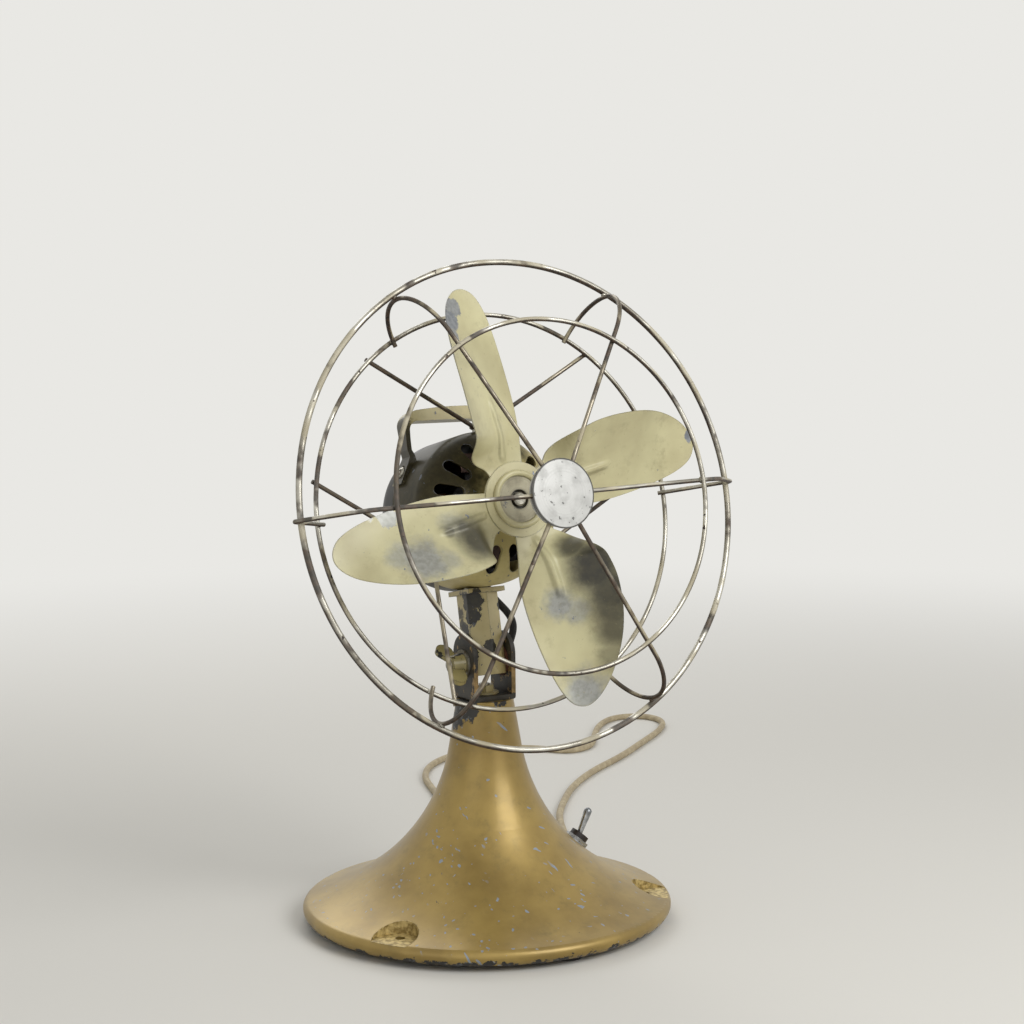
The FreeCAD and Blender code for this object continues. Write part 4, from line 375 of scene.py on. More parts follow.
def recesses(place, height):
    """A mask of the recesses' cut faces."""
    tree = tree_of(place)
    flat = add_node(tree, "ShaderNodeVectorMath", {0: place, 1: (1.0, 1.0, 0.0)}, operation="MULTIPLY")
    masks = []
    for turn in RECESS_TURNS:
        x, y = RECESS_CIRCLE * math.cos(math.radians(turn)), RECESS_CIRCLE * math.sin(math.radians(turn))
        ends = {0: flat.outputs[0], 1: (x * MM, y * MM, 0.0)}
        apart = add_node(tree, "ShaderNodeVectorMath", ends, operation="DISTANCE")
        masks.append(between(apart.outputs["Value"], *RECESS_WALL))
    return sums("MULTIPLY", sums("MAXIMUM", *masks), between(height, *RECESS_HEIGHT))


def gold_enamel():
    """Gold-bronze enamel sprayed on a rough casting: a satin metallic film, rubbed and scratched
    in short strokes, chipped to dark iron at the foot of the rim and the top of the neck."""
    made, tree = new_material("gold_bronze_enamel")
    place = object_place(tree)
    z = add_node(tree, "ShaderNodeSeparateXYZ", {"Vector": place}).outputs["Z"]
    tone = mixed(patches(place, 40, 0.3, 0.7, detail=4), "#a58c4d", "#87703a")
    dull = patches(place, 9, 0.48, 0.75, detail=8, roughness=0.7, seed=2.0)
    tone = mixed(sums("MULTIPLY", dull, 0.5), tone, "#76673d")
    one_way = strokes(place, (0.5, 0.3, 0.0), 5.0)
    other_way = strokes(place, (-0.35, 0.9, 0.0), 7.0)
    where = patches(place, 30, 0.4, 0.5, detail=2, seed=6.0)
    scratched = sums("MULTIPLY", sums("MAXIMUM", one_way, other_way), where)
    foot = sums("MULTIPLY", between(z, *RIM_FOOT), 0.22)
    neck = sums("MULTIPLY", between(z, *NECK_TOP), 0.17)
    worn = sums("MAXIMUM", foot, neck, sums("MULTIPLY", edges(tree, 1.2), 0.13))
    chance = noise_value(place, 6.5, 9.0, 9.0, 0.66)
    chipped = between(sums("ADD", chance, worn), 0.70, 0.715)
    chipped = sums("MAXIMUM", chipped, near(place, NECK_LEFT_DARK_PATCHES, 0.5, 8.0, 8.0, 0.12))
    cut_open = recesses(place, z)
    rough_brass = mixed(patches(place, 3.0, 0.36, 0.62, seed=14.0), "#85713f", "#c9b47a")
    iron = mixed(patches(place, 3, 0.56, 0.64, seed=15.0), "#292825", "#5a5d60")
    colour = mixed(scratched, tone, "#8d959e")
    colour = mixed(chipped, mixed(cut_open, colour, rough_brass), iron)
    both = sums("MAXIMUM", scratched, chipped)
    roughness = mixed(sums("MAXIMUM", both, cut_open), 0.4, 0.58)
    cast = add_node(tree, "ShaderNodeTexNoise", {"Vector": place, "Scale": scale_of(2.4), "Detail": 5.0})
    gouge = noise_value(place, 5.0, 16.0, 4.0)
    gouged = sums("MULTIPLY", gouge, sums("MULTIPLY", cut_open, 9.0))
    height = sums("SUBTRACT", sums("MULTIPLY", cast.outputs[0], 0.35), both)
    height = sums("ADD", height, gouged)
    finish_surface(tree, colour, roughness, mixed(chipped, 0.45, 0.2), height, depth=0.07, coat=0.2)
    return made


# The front faces of the yoke, by their normal, and the heights between which gold shows there.
YOKE_FRONT, GOLD_TOP, GOLD_FOOT = (-0.6, -0.9), (0.156, 0.149), (0.1365, 0.139)


def clamp_enamel():
    """The yoke's enamel: dark all over, with gold only on its front-facing faces between two heights."""
    made, tree = new_material("dark_clamp_enamel")
    place = object_place(tree)
    dark = mixed(patches(place, 8, 0.3, 0.7, detail=7), "#37332a", "#191715")
    gilt = mixed(patches(place, 5, 0.3, 0.7, seed=42.0), "#a3865a", "#6f5c38")
    normal = add_node(tree, "ShaderNodeTexCoord").outputs["Normal"]
    facing = add_node(tree, "ShaderNodeSeparateXYZ", {"Vector": normal}).outputs["Y"]
    z = add_node(tree, "ShaderNodeSeparateXYZ", {"Vector": place}).outputs["Z"]
    front = sums("MULTIPLY", between(facing, *YOKE_FRONT), between(z, *GOLD_TOP), between(z, *GOLD_FOOT))
    chance = noise_value(place, 6.0, 41.0, 8.0, 0.66)
    gold = between(sums("ADD", chance, sums("MULTIPLY", front, 0.17)), 0.585, 0.605)
    grain = add_node(tree, "ShaderNodeTexNoise", {"Vector": place, "Scale": scale_of(1.2), "Detail": 4.0})
    height = sums("ADD", sums("MULTIPLY", grain.outputs[0], 0.4), gold)
    metallic = sums("MULTIPLY", gold, 0.45)
    finish_surface(tree, mixed(gold, dark, gilt), mixed(gold, 0.5, 0.42), metallic, height, depth=0.07)
    return made


def worn_wire(name, light, dark, rusty):
    """Drawn steel wire that was painted once: bare grey-brown metal, dark rust in flecks and blotches,
    painted shade in the same dark tone on the underside, and remnants of cream paint along the top.
    Rusty moves the level of the blotches."""
    made, tree = new_material(name)
    place = object_place(tree)
    metal = mixed(patches(place, 24, 0.3, 0.7, detail=3), light, dark)
    cream = patches(place, 22, 0.5, 0.6, detail=1, seed=4.0)
    painted = mixed(sums("MULTIPLY", cream, 0.5), metal, "#c0b594")
    normal = add_node(tree, "ShaderNodeTexCoord").outputs["Normal"]
    facing = add_node(tree, "ShaderNodeSeparateXYZ", {"Vector": normal}).outputs["Z"]
    side = add_node(tree, "ShaderNodeSeparateXYZ", {"Vector": place}).outputs["X"]
    cloud = sums("MULTIPLY", patches(place, 26, 0.3, 0.7, detail=3, seed=8.0), 0.4)
    # Painted shade: each wire's underside, found by its normal, darkens with the rust tone in patches.
    under = between(sums("SUBTRACT", cloud, facing), 0.05, 0.6)
    flecks = patches(place, 5.0, 0.66, 0.7, detail=2, seed=2.0)
    damp = sums("MULTIPLY", between(side, -0.02, -0.12), 0.09)
    blotch = sums("ADD", noise_value(place, 24, 6.0, 3.0, 0.55), damp)
    blotch = sums("MULTIPLY", between(blotch, 0.58 - rusty, 0.66 - rusty), 0.85)
    # This mask holds the rust and the painted underside shade.
    rust = sums("MAXIMUM", under, flecks, blotch)
    rust_and_shade_tone = mixed(patches(place, 3, 0.35, 0.65), "#483628", "#231d18")
    bare = sums("SUBTRACT", 1.0, sums("MAXIMUM", cream, rust))
    rough = add_node(tree, "ShaderNodeTexNoise", {"Vector": place, "Scale": scale_of(2.5), "Detail": 1.0})
    height = sums("SUBTRACT", rough.outputs[0], flecks)
    metallic = sums("MULTIPLY", bare, 0.75)
    finish_surface(
        tree, mixed(rust, painted, rust_and_shade_tone), mixed(bare, 0.6, 0.34), metallic, height, depth=0.012
    )
    return made


def shaft_place(tree):
    """Object coordinates turned into the shaft's frame, so a pattern can run round the shaft."""
    back = SHAFT.inverted()
    turn = {"Location": tuple(back.translation), "Rotation": tuple(back.to_euler("XYZ"))}
    return add_node(tree, "ShaderNodeMapping", {"Vector": object_place(tree), **turn}).outputs["Vector"]


def shaft_radius(place, drop):
    """The distance in metres from an axis that lies this far under the shaft's."""
    tree, move = tree_of(place), {0: place, 1: (0.0, drop * MM, 0.0)}
    centred = add_node(tree, "ShaderNodeVectorMath", move, operation="ADD").outputs[0]
    flat = add_node(tree, "ShaderNodeVectorMath", {0: centred, 1: (1.0, 1.0, 0.0)}, operation="MULTIPLY")
    return add_node(tree, "ShaderNodeVectorMath", {0: flat.outputs[0]}, operation="LENGTH").outputs["Value"]


def spun_aluminium(name, light, dark, edge, drop=0.0, eye=None):
    """Spun aluminium: turning lines about 0.5 mm apart round the shaft, small grey pits, and a
    soft shine that the lines break up. It is dark with grime at its edge and round its eye, both
    given in metres from the axis."""
    made, tree = new_material(name)
    place = shaft_place(tree)
    radius = shaft_radius(place, drop)
    turning = {"W": sums("MULTIPLY", radius, scale_of(0.9)), "Scale": 1.0, "Detail": 3.0, "Roughness": 0.7}
    lines = add_node(tree, "ShaderNodeTexNoise", turning, noise_dimensions="1D").outputs[0]
    pits = patches(place, 1.3, 0.66, 0.72, detail=5, seed=3.0)
    dull = patches(place, 8, 0.42, 0.7, detail=6, seed=5.0)
    chips = patches(place, 3.0, 0.64, 0.66, detail=6, seed=14.0)
    colour = mixed(sums("MULTIPLY", dull, 0.6), light, dark)
    colour = mixed(sums("MULTIPLY", between(lines, 0.35, 0.7), 0.25), colour, dark)
    colour = mixed(pits, colour, "#6d6d6a")
    colour = mixed(chips, colour, "#747472")
    colour = mixed(between(radius, edge - 0.0011, edge - 0.0006), colour, "#4a4945")
    if eye is not None:
        outside, inside = between(radius, eye + 0.0022, eye), between(radius, eye - 0.0012, eye)
        colour = mixed(sums("MULTIPLY", outside, inside), colour, "#1f1d19")
    roughness = mixed(sums("MAXIMUM", pits, dull), 0.5, 0.65)
    height = sums("SUBTRACT", sums("MULTIPLY", lines, 0.5), sums("MAXIMUM", pits, chips))
    finish_surface(tree, colour, roughness, 0.25, height, depth=0.05)
    return made


def plain_metal(name, light, dark, roughness, size=6.0, metallic=1.0, rust=None):
    """Plated or machined metal with handling marks: a slow change of tone and fine scuffs."""
    made, tree = new_material(name)
    place = object_place(tree)
    worn = patches(place, size, 0.35, 0.7, detail=7, roughness=0.65)
    colour = mixed(worn, light, dark)
    shine = mixed(worn, roughness, min(roughness + 0.2, 1.0))
    if rust is not None:
        spots = patches(place, size * 0.7, 0.58, 0.66, detail=8, seed=4.0)
        colour = mixed(spots, colour, rust)
        metallic = mixed(spots, metallic, 0.2)
    scuffs = add_node(tree, "ShaderNodeTexNoise", {"Vector": place, "Scale": scale_of(0.8), "Detail": 4.0})
    finish_surface(tree, colour, shine, metallic, scuffs.outputs[0], depth=0.02)
    return made


def dull_coat(name, light, dark, roughness, size=4.0, depth=0.05, sheen=0.0):
    """Lacquer, rubber, fibre or moulded phenolic: no metal in it, a fine grain and dusty patches."""
    made, tree = new_material(name)
    place = object_place(tree)
    dusty = patches(place, size, 0.38, 0.72, detail=6, roughness=0.6)
    colour = mixed(dusty, dark, light)
    grain = add_node(tree, "ShaderNodeTexNoise", {"Vector": place, "Scale": scale_of(0.7), "Detail": 5.0})
    shine = mixed(dusty, roughness, min(roughness + 0.15, 1.0))
    finish_surface(tree, colour, shine, 0.0, grain.outputs[0], depth=depth, sheen=sheen)
    return made


enamel_gold = gold_enamel()
enamel_clamp = clamp_enamel()
enamel_shell = cream_enamel(
    "cream_motor_enamel", "#c5b984", "#a99c6a", "#726947", "#6d7076", 0.34, 0.14, shell_upper_left_darkening, coat=0.0, ior=1.22
)
enamel_stem = cream_enamel(
    "cream_stem_enamel", "#c4b789", "#ab9c6c", "#7d7352", "#55585e", 0.36, 0.18, stem_chips_and_shade
)
enamel_handle = cream_enamel(
    "cream_handle_enamel", "#c3b785", "#aa9d6b", "#827954", "#6d7076", 0.33, 0.14, handle_soot_and_shade
)
# The wing nut's cream enamel is darkened to olive as painted shade.
enamel_wing = cream_enamel("olive_wing_nut_enamel", "#a99d6c", "#7d7348", "#544d31", "#2f2e28", 0.43, 0.24)
enamel_blades = cream_enamel(
    "cream_blade_enamel", "#cdc79d", "#bab28a", "#8f8664", "#838890", 0.325, 0.13,
    blade_soot_and_shade, blade_bare, blade_rib,
)
wire_steel = worn_wire("worn_steel_wire", "#cecbc0", "#8a8579", 0.02)
wire_rusty = worn_wire("rusty_steel_wire", "#9b9383", "#6b6355", 0.1)
aluminium = spun_aluminium("spun_aluminium", "#c6c6c3", "#a9a9a6", 0.0198, GUARD_DROP)
aluminium_hub = spun_aluminium("turned_hub_aluminium", "#a59f88", "#736d5c", 0.0152, eye=0.0047)
zinc_steel = plain_metal("zinc_plated_steel", "#b6b3a8", "#7f7c72", 0.38, rust="#5b4733")
bright_chrome = plain_metal("chrome_plate", "#b4b6b8", "#75787b", 0.2, size=5.0)
core_steel = plain_metal("laminated_core_steel", "#4f4f50", "#333336", 0.5)
# The windings are dark brown: partly their varnish, partly painted shade for the dark inside of the motor.
winding_copper = plain_metal("varnished_winding_and_shade", "#4a2f20", "#2a1a12", 0.45, size=1.5, metallic=0.4)
bearing_bronze = plain_metal("sintered_bronze", "#a9854f", "#7b5d33", 0.5, size=2.0)
pin_brass = plain_metal("drawn_brass", "#c9a65a", "#94753a", 0.28, size=3.0)
cover_lacquer = dull_coat("black_stoving_lacquer", "#3a3833", "#1c1b1a", 0.42, size=12)
plate_lacquer = dull_coat("black_plate_lacquer", "#2f2d2a", "#191817", 0.5, size=12)
black_rubber = dull_coat("black_rubber", "#3b3935", "#1d1c1b", 0.75, size=3)
phenolic = dull_coat("moulded_phenolic", "#2e2420", "#171210", 0.3, size=6, depth=0.02)
red_fibre = dull_coat("vulcanised_fibre", "#6b4030", "#472519", 0.7, size=2)
lead_braid = dull_coat("black_braid", "#2c2a29", "#121212", 0.85, size=1.5, depth=0.15, sheen=0.2)
cord_cover = dull_coat("beige_cord_cover", "#c6b999", "#a7987b", 0.6, size=7, depth=0.04)

FINISHES = {
    enamel_gold: "base_casting",
    enamel_clamp: "yoke",
    plate_lacquer: "bottom_plate",
    enamel_shell: "front_shell",
    enamel_stem: "stem yoke_washer yoke_nut",
    enamel_handle: "carry_handle",
    enamel_wing: "wing_nut",
    enamel_blades: "fan_blades",
    cover_lacquer: "rear_cover",
    wire_steel: "guard_outer_ring guard_front_ring guard_back_ring guard_spoke_0 guard_spoke_180",
    wire_rusty: "guard_spoke_60 guard_spoke_120 guard_spoke_240 guard_spoke_300 guard_strut_top "
    "guard_strut_left guard_strut_right",
    aluminium: "medallion medallion_back_plate",
    aluminium_hub: "fan_hub",
    zinc_steel: "bottom_plate_screws yoke_bolt tilt_bolt clamp_washer saddle_screws "
    "cover_bolts handle_screws strut_screws hub_grub_screw motor_shaft thrust_collars",
    core_steel: "rotor stator_core",
    winding_copper: "stator_coils",
    bearing_bronze: "front_bearing rear_bearing",
    bright_chrome: "switch_nut switch_washer switch_lever",
    phenolic: "switch_body",
    black_rubber: "rubber_feet cord_grommet lead_bush",
    red_fibre: "fibre_washers",
    lead_braid: "motor_lead",
    cord_cover: "cord cord_coil plug_body",
    pin_brass: "plug_pins",
}
for material, names in FINISHES.items():
    for name in names.split():
        mesh = nodes[name].data
        mesh.materials.clear()
        mesh.materials.append(material)


# ---- making of pieces ----


def painted(name, mesh, material):
    mesh.materials.clear()
    mesh.materials.append(material)
    piece = bpy.data.objects.new(name, mesh)
    scene.collection.objects.link(piece)
    return piece


def new_piece(name, mesh, material, body, slot, *replaced):
    """A finished mesh as a piece that rides on a body and stands for the CAD nodes it replaces."""
    piece = painted(name, mesh, material)
    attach(piece, body)
    if replaced:
        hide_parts(*replaced)


def final_mesh(holder):
    """An object's finished shape as a plain mesh. The object itself goes."""
    depsgraph = bpy.context.evaluated_depsgraph_get()
    mesh = bpy.data.meshes.new_from_object(holder.evaluated_get(depsgraph), depsgraph=depsgraph)
    holder.modifiers.clear()
    bpy.data.objects.remove(holder)
    return mesh


def spline_tube(name, points, radius, order, steps, rounding):
    """A round capped tube along one NURBS spline, whose control points these are."""
    data = bpy.data.curves.new(name, "CURVE")
    data.dimensions = "3D"
    data.bevel_depth = radius * MM
    data.bevel_resolution = rounding
    data.use_fill_caps = True
    spline = data.splines.new("NURBS")
    spline.points.add(len(points) - 1)
    for control, point in zip(spline.points, points):
        control.co = (*(point * MM), 1.0)
    spline.order_u = order
    spline.use_endpoint_u = True
    spline.resolution_u = steps
    tube = bpy.data.objects.new(name, data)
    scene.collection.objects.link(tube)
    return tube


# ---- geometry trees ----

SOCKETS = {float: "NodeSocketFloat", int: "NodeSocketInt", type(None): "NodeSocketMaterial"}


def new_tree(name, inputs):
    """A geometry tree with a named input for each value. None stands for the material's."""
    tree = bpy.data.node_groups.new(name, "GeometryNodeTree")
    tree.interface.new_socket("Geometry", in_out="INPUT", socket_type="NodeSocketGeometry")
    for label, value in inputs.items():
        socket = tree.interface.new_socket(label, in_out="INPUT", socket_type=SOCKETS[type(value)])
        if value is not None:
            socket.default_value = value
    tree.interface.new_socket("Geometry", in_out="OUTPUT", socket_type="NodeSocketGeometry")
    return tree, add_node(tree, "NodeGroupInput").outputs


def close_tree(tree, geometry, material, smooth=True):
    if smooth:
        geometry = add_node(tree, "GeometryNodeSetShadeSmooth", {"Geometry": geometry}).outputs[0]
    whole = add_node(tree, "GeometryNodeRealizeInstances", {"Geometry": geometry}).outputs[0]
    dressed = add_node(tree, "GeometryNodeSetMaterial", {"Geometry": whole, "Material": material})
    add_node(tree, "NodeGroupOutput", {"Geometry": dressed.outputs[0]})
    return tree


def grown(name, tree, mesh, sizes):
    """Runs a geometry tree on a mesh, with sizes by input name, and returns a plain mesh."""
    holder = bpy.data.objects.new(name + "_holder", mesh)
    scene.collection.objects.link(holder)
    modifier = holder.modifiers.new("grow", "NODES")
    modifier.node_group = tree
    for item in tree.interface.items_tree:
        if item.in_out == "INPUT" and item.name in sizes:
            modifier[item.identifier] = sizes[item.name]
    result = final_mesh(holder)
    result.name = name
    return result


def waved(geometry, size, seed, height):
    """Moves each point by noise whose waves are about this long and high, in metres."""
    tree, inputs = tree_of(geometry), {"Scale": sums("DIVIDE", 1.0, size), "Detail": 1.0, "W": seed}
    noise = add_node(tree, "ShaderNodeTexNoise", inputs, noise_dimensions="4D").outputs["Color"]
    even = add_node(tree, "ShaderNodeVectorMath", {0: noise, 1: (0.5, 0.5, 0.5)}, operation="SUBTRACT")
    sway = add_node(tree, "ShaderNodeVectorMath", {0: even.outputs[0], "Scale": height}, operation="SCALE")
    offset = {"Geometry": geometry, "Offset": sway.outputs[0]}
    return add_node(tree, "GeometryNodeSetPosition", offset).outputs[0]


def wire_tree():
    """Bent wire: a round section along each edge path, with the slow waves left by hand bending."""
    tree, given = new_tree("bent_wire", {"Radius": 1.4 * MM, **WAVES, "Sides": 14, "Material": None})
    curve = add_node(tree, "GeometryNodeMeshToCurve", {"Mesh": given["Geometry"]}).outputs[0]
    bent = waved(curve, given["Wave length"], given["Seed"], given["Wave height"])
    circle = {"Resolution": given["Sides"], "Radius": given["Radius"]}
    section = add_node(tree, "GeometryNodeCurvePrimitiveCircle", circle).outputs["Curve"]
    sweep = {"Curve": bent, "Profile Curve": section, "Fill Caps": True}
    tube = add_node(tree, "GeometryNodeCurveToMesh", sweep).outputs[0]
    return close_tree(tree, tube, given["Material"])


def weld_tree():
    """Weld beads: a small uneven blob on each point, waved as the wires are."""
    sizes = {"Bead radius": 1.6 * MM, "Unevenness": 0.9 * MM, "Grain": 1.6 * MM}
    tree, given = new_tree("weld_beads", {**sizes, **WAVES, "Material": None})
    spots = waved(given["Geometry"], given["Wave length"], given["Seed"], given["Wave height"])
    ball = add_node(tree, "GeometryNodeMeshIcoSphere", {"Radius": given["Bead radius"], "Subdivisions": 4})
    girth = add_node(tree, "FunctionNodeRandomValue", {2: 0.75, 3: 1.2, "Seed": 5}, data_type="FLOAT")
    placed = {"Points": spots, "Instance": ball.outputs["Mesh"], "Scale": girth.outputs[1]}
    beads = add_node(tree, "GeometryNodeInstanceOnPoints", placed).outputs[0]
    solid = add_node(tree, "GeometryNodeRealizeInstances", {"Geometry": beads}).outputs[0]
    uneven = waved(solid, given["Grain"], 8.0, given["Unevenness"])
    return close_tree(tree, uneven, given["Material"])


def screw_tree():
    """Slotted screws: a domed head with a sawn slot and a plain shank on each point, which carries
    its axis and the turn of its slot."""
    sizes = {"Head radius": 0.0038, "Head height": 0.002, "Slot width": 0.0009, "Slot depth": 0.001}
    sizes.update({"Shank radius": 0.0018, "Shank length": 0.004, "Material": None})
    tree, given = new_tree("slotted_screws", sizes)
    radius, height = given["Head radius"], given["Head height"]
    ball = add_node(tree, "GeometryNodeMeshUVSphere", {"Segments": 48, "Rings": 32, "Radius": 1.0})
    size = add_node(tree, "ShaderNodeCombineXYZ", {"X": radius, "Y": radius, "Z": height}).outputs[0]
    dome = add_node(tree, "GeometryNodeTransform", {"Geometry": ball.outputs["Mesh"], "Scale": size}).outputs[0]
    cut = {"X": sums("MULTIPLY", radius, 2.4), "Y": given["Slot width"]}
    cut["Z"] = sums("MULTIPLY", given["Slot depth"], 2.0)
    size = add_node(tree, "ShaderNodeCombineXYZ", cut).outputs[0]
    saw = add_node(tree, "GeometryNodeMeshCube", {"Size": size}).outputs["Mesh"]
    lift = add_node(tree, "ShaderNodeCombineXYZ", {"Z": height}).outputs[0]
    saw = add_node(tree, "GeometryNodeTransform", {"Geometry": saw, "Translation": lift}).outputs[0]
    head = add_node(tree, "GeometryNodeMeshBoolean", {"Mesh 1": dome, "Mesh 2": saw}, operation="DIFFERENCE")
    rod = {"Vertices": 24, "Radius": given["Shank radius"], "Depth": given["Shank length"]}
    shank = add_node(tree, "GeometryNodeMeshCylinder", rod).outputs["Mesh"]
    sunk = sums("MULTIPLY", given["Shank length"], -0.5)
    drop = add_node(tree, "ShaderNodeCombineXYZ", {"Z": sunk}).outputs[0]
    shank = add_node(tree, "GeometryNodeTransform", {"Geometry": shank, "Translation": drop}).outputs[0]
    joined = add_node(tree, "GeometryNodeJoinGeometry", {"Geometry": head.outputs["Mesh"]})
    tree.links.new(shank, joined.inputs["Geometry"])
    axis = add_node(tree, "GeometryNodeInputNamedAttribute", {"Name": "axis"}, data_type="FLOAT_VECTOR")
    turn = add_node(tree, "GeometryNodeInputNamedAttribute", {"Name": "slot_turn"}, data_type="FLOAT")
    aimed = add_node(tree, "FunctionNodeAlignRotationToVector", {"Vector": axis.outputs[0]}, axis="Z")
    spin = {"Axis": (0.0, 0.0, 1.0), "Angle": turn.outputs[0]}
    spun = add_node(tree, "FunctionNodeAxisAngleToRotation", spin).outputs[0]
    both = {"Rotation": aimed.outputs[0], "Rotate By": spun}
    aimed = add_node(tree, "FunctionNodeRotateRotation", both, rotation_space="LOCAL").outputs[0]
    placed = {"Points": given["Geometry"], "Instance": joined.outputs[0], "Rotation": aimed}
    heads = add_node(tree, "GeometryNodeInstanceOnPoints", placed).outputs[0]
    return close_tree(tree, heads, given["Material"], smooth=False)


# ---- guard ----

OUTER_RING, OUTER_PLACE, OUTER_WIRE = 140.8, 70.9, 1.8
FRONT_RING, FRONT_PLACE = 99.9, 106.7
BACK_RING, BACK_PLACE = 116.7, 38.5
RING_WIRE = 1.4
RINGS = (
    ("guard_outer_ring", OUTER_RING, OUTER_PLACE, OUTER_WIRE),
    ("guard_front_ring", FRONT_RING, FRONT_PLACE, RING_WIRE),
    ("guard_back_ring", BACK_RING, BACK_PLACE, RING_WIRE),
)
RING_POINTS = 1.6  # for each millimetre of a ring's radius
SPOKE_WIRE = 1.3
SPOKE_ORIGIN = 111.542
SPOKE_SLOPE = 0.076
SPOKE_START = 4.0
SPOKE_TAIL = 2.5  # how far a spoke runs on past the back ring
# Degrees by which the bent side spokes stand off their even places.
SIDE_TURNS = {0: 1.9, 180: 0.7}
WELD_GAP = 0.05
WELD_REACH = 0.6  # the widest gap between two wires that a bead still closes
SIDE_KNEE, SIDE_KNEE_BEND = 114.0, 26.0
STRUT_VERTEX, STRUT_FOOT, STRUT_END, STRUT_BEND, STRUT_SPREAD = 46.6, 25.0, 35.75, 6.0, 40.0
STRUT_PAST = 1.5  # how far a strut's ends reach past the back ring
STRUTS = {"top": 90.0, "left": 210.0, "right": 330.0}
WAVES = {"Wave height": 0.55 * MM, "Wave length": 60 * MM, "Seed": 3.0}
GUARD = SHAFT @ moved(0, -GUARD_DROP, 0)


def around(radius, angle, height=0.0):
    """A point of a circle, with its angle in radians."""
    return Vector((radius * math.cos(angle), radius * math.sin(angle), height))


def on_spoke(radius):
    return Vector((radius, 0, SPOKE_ORIGIN - SPOKE_SLOPE * radius))


def bent_path(corners, bends, step=1.5):
    """Points along straight runs joined by arcs of the given bends, about a step apart."""
    points, start = [], corners[0]
    for index in range(1, len(corners) - 1):
        here = corners[index]
        back = (corners[index - 1] - here).normalized()
        ahead = (corners[index + 1] - here).normalized()
        half = (math.pi - back.angle(ahead)) / 2
        bend = bends[index - 1]
        enter = here + back * bend * math.tan(half)
        centre = here + (back + ahead).normalized() * bend / math.cos(half)
        points += straight(start, enter, step)
        steps = max(int(2 * half * bend / step), 6)
        arm = enter - centre
        turn_axis = back.cross(ahead).normalized()
        for number in range(1, steps):
            points.append(centre + Matrix.Rotation(-2 * half * number / steps, 3, turn_axis) @ arm)
        start = centre + Matrix.Rotation(-2 * half, 3, turn_axis) @ arm
    return points + straight(start, corners[-1], step) + [corners[-1]]


def straight(start, end, step):
    count = max(int((end - start).length / step), 1)
    return [start.lerp(end, number / count) for number in range(count)]


def spoke_path():
    """A spoke in its own plane: out under the front ring, round inside the largest ring in one arc
    that touches it, and back over the back ring."""
    limit = OUTER_RING - OUTER_WIRE - SPOKE_WIRE - WELD_GAP
    contact = RING_WIRE + SPOKE_WIRE + WELD_GAP
    stretch = math.sqrt(1 + SPOKE_SLOPE**2)
    across = BACK_RING - limit
    along = BACK_PLACE - SPOKE_ORIGIN + limit * SPOKE_SLOPE
    factor = stretch - SPOKE_SLOPE
    a = factor * factor
    b = 2 * (across + factor * along - contact)
    c = across * across + along * along - contact * contact
    bend = (-b - math.sqrt(b * b - 4 * a * c)) / (2 * a)
    centre = Vector((limit - bend, 0, SPOKE_ORIGIN - SPOKE_SLOPE * (limit - bend) - bend * stretch))
    enter = math.atan2(1 / stretch, SPOKE_SLOPE / stretch)
    leave = math.atan2(BACK_PLACE - centre.z, BACK_RING - centre.x) - SPOKE_TAIL / bend
    steps = int((enter - leave) * bend / 1.5)
    angles = [enter + (leave - enter) * number / steps for number in range(steps + 1)]
    arc = [centre + Vector((math.cos(angle), 0, math.sin(angle))) * bend for angle in angles]
    return straight(on_spoke(SPOKE_START), arc[0], 2.0) + arc


def side_spoke_path():
    """A side spoke: over the largest ring, wrapped round it, and back over the back ring."""
    knee = on_spoke(SIDE_KNEE)
    ring = Vector((OUTER_RING, 0, OUTER_PLACE))
    target = Vector((BACK_RING, 0, BACK_PLACE))
    contact = OUTER_WIRE + SPOKE_WIRE + WELD_GAP
    back_contact = RING_WIRE + SPOKE_WIRE + WELD_GAP
    run = ring - knee
    lean = math.atan2(run.z, run.x) + math.asin(contact / run.length)
    way_in = Vector((math.cos(lean), 0, math.sin(lean)))
    run = target - ring
    lean = math.atan2(run.z, run.x) - math.asin((back_contact + contact) / run.length)
    way_out = Vector((math.cos(lean), 0, math.sin(lean)))
    corner = ring + (way_in - way_out).normalized() * contact / math.cos(way_in.angle(way_out) / 2)
    end = target + Vector((way_out.z, 0, -way_out.x)) * back_contact + way_out * SPOKE_TAIL
    return bent_path([on_spoke(SPOKE_START), knee, corner, end], [SIDE_KNEE_BEND, contact])


def strut_path(angle):
    """A rear strut: one rod bent at the motor, both ends behind the back ring."""
    ends = []
    for side in (-STRUT_SPREAD, STRUT_SPREAD):
        radius = BACK_RING + STRUT_PAST - GUARD_DROP * math.sin(math.radians(angle + side))
        ends.append(around(radius, math.radians(side), STRUT_END))
    return bent_path([ends[0], Vector((STRUT_VERTEX, 0, STRUT_FOOT)), ends[1]], [STRUT_BEND])


def path_mesh(name, points, closed=False):
    mesh = bpy.data.meshes.new(name)
    links = [(index, index + 1) for index in range(len(points) - 1)]
    if closed:
        links.append((len(points) - 1, 0))
    mesh.from_pydata([tuple(point) for point in points], links, [])
    return mesh


def weld_spots(paths):
    """The middle of each narrow gap between a wire's path and a ring, all in the guard's frame."""
    spots = []
    for path in paths:
        for _, radius, place, wire in RINGS:
            lift = Vector((0, 0, place))
            seats = [Vector((spot.x, spot.y, 0)).normalized() * radius + lift for spot in path]
            gaps = [(spot - seat).length for spot, seat in zip(path, seats)]
            apart = min(gaps)
            if apart < wire + SPOKE_WIRE + WELD_REACH:
                index = gaps.index(apart)
                spots.append(seats[index].lerp(path[index], wire / apart))
    return spots


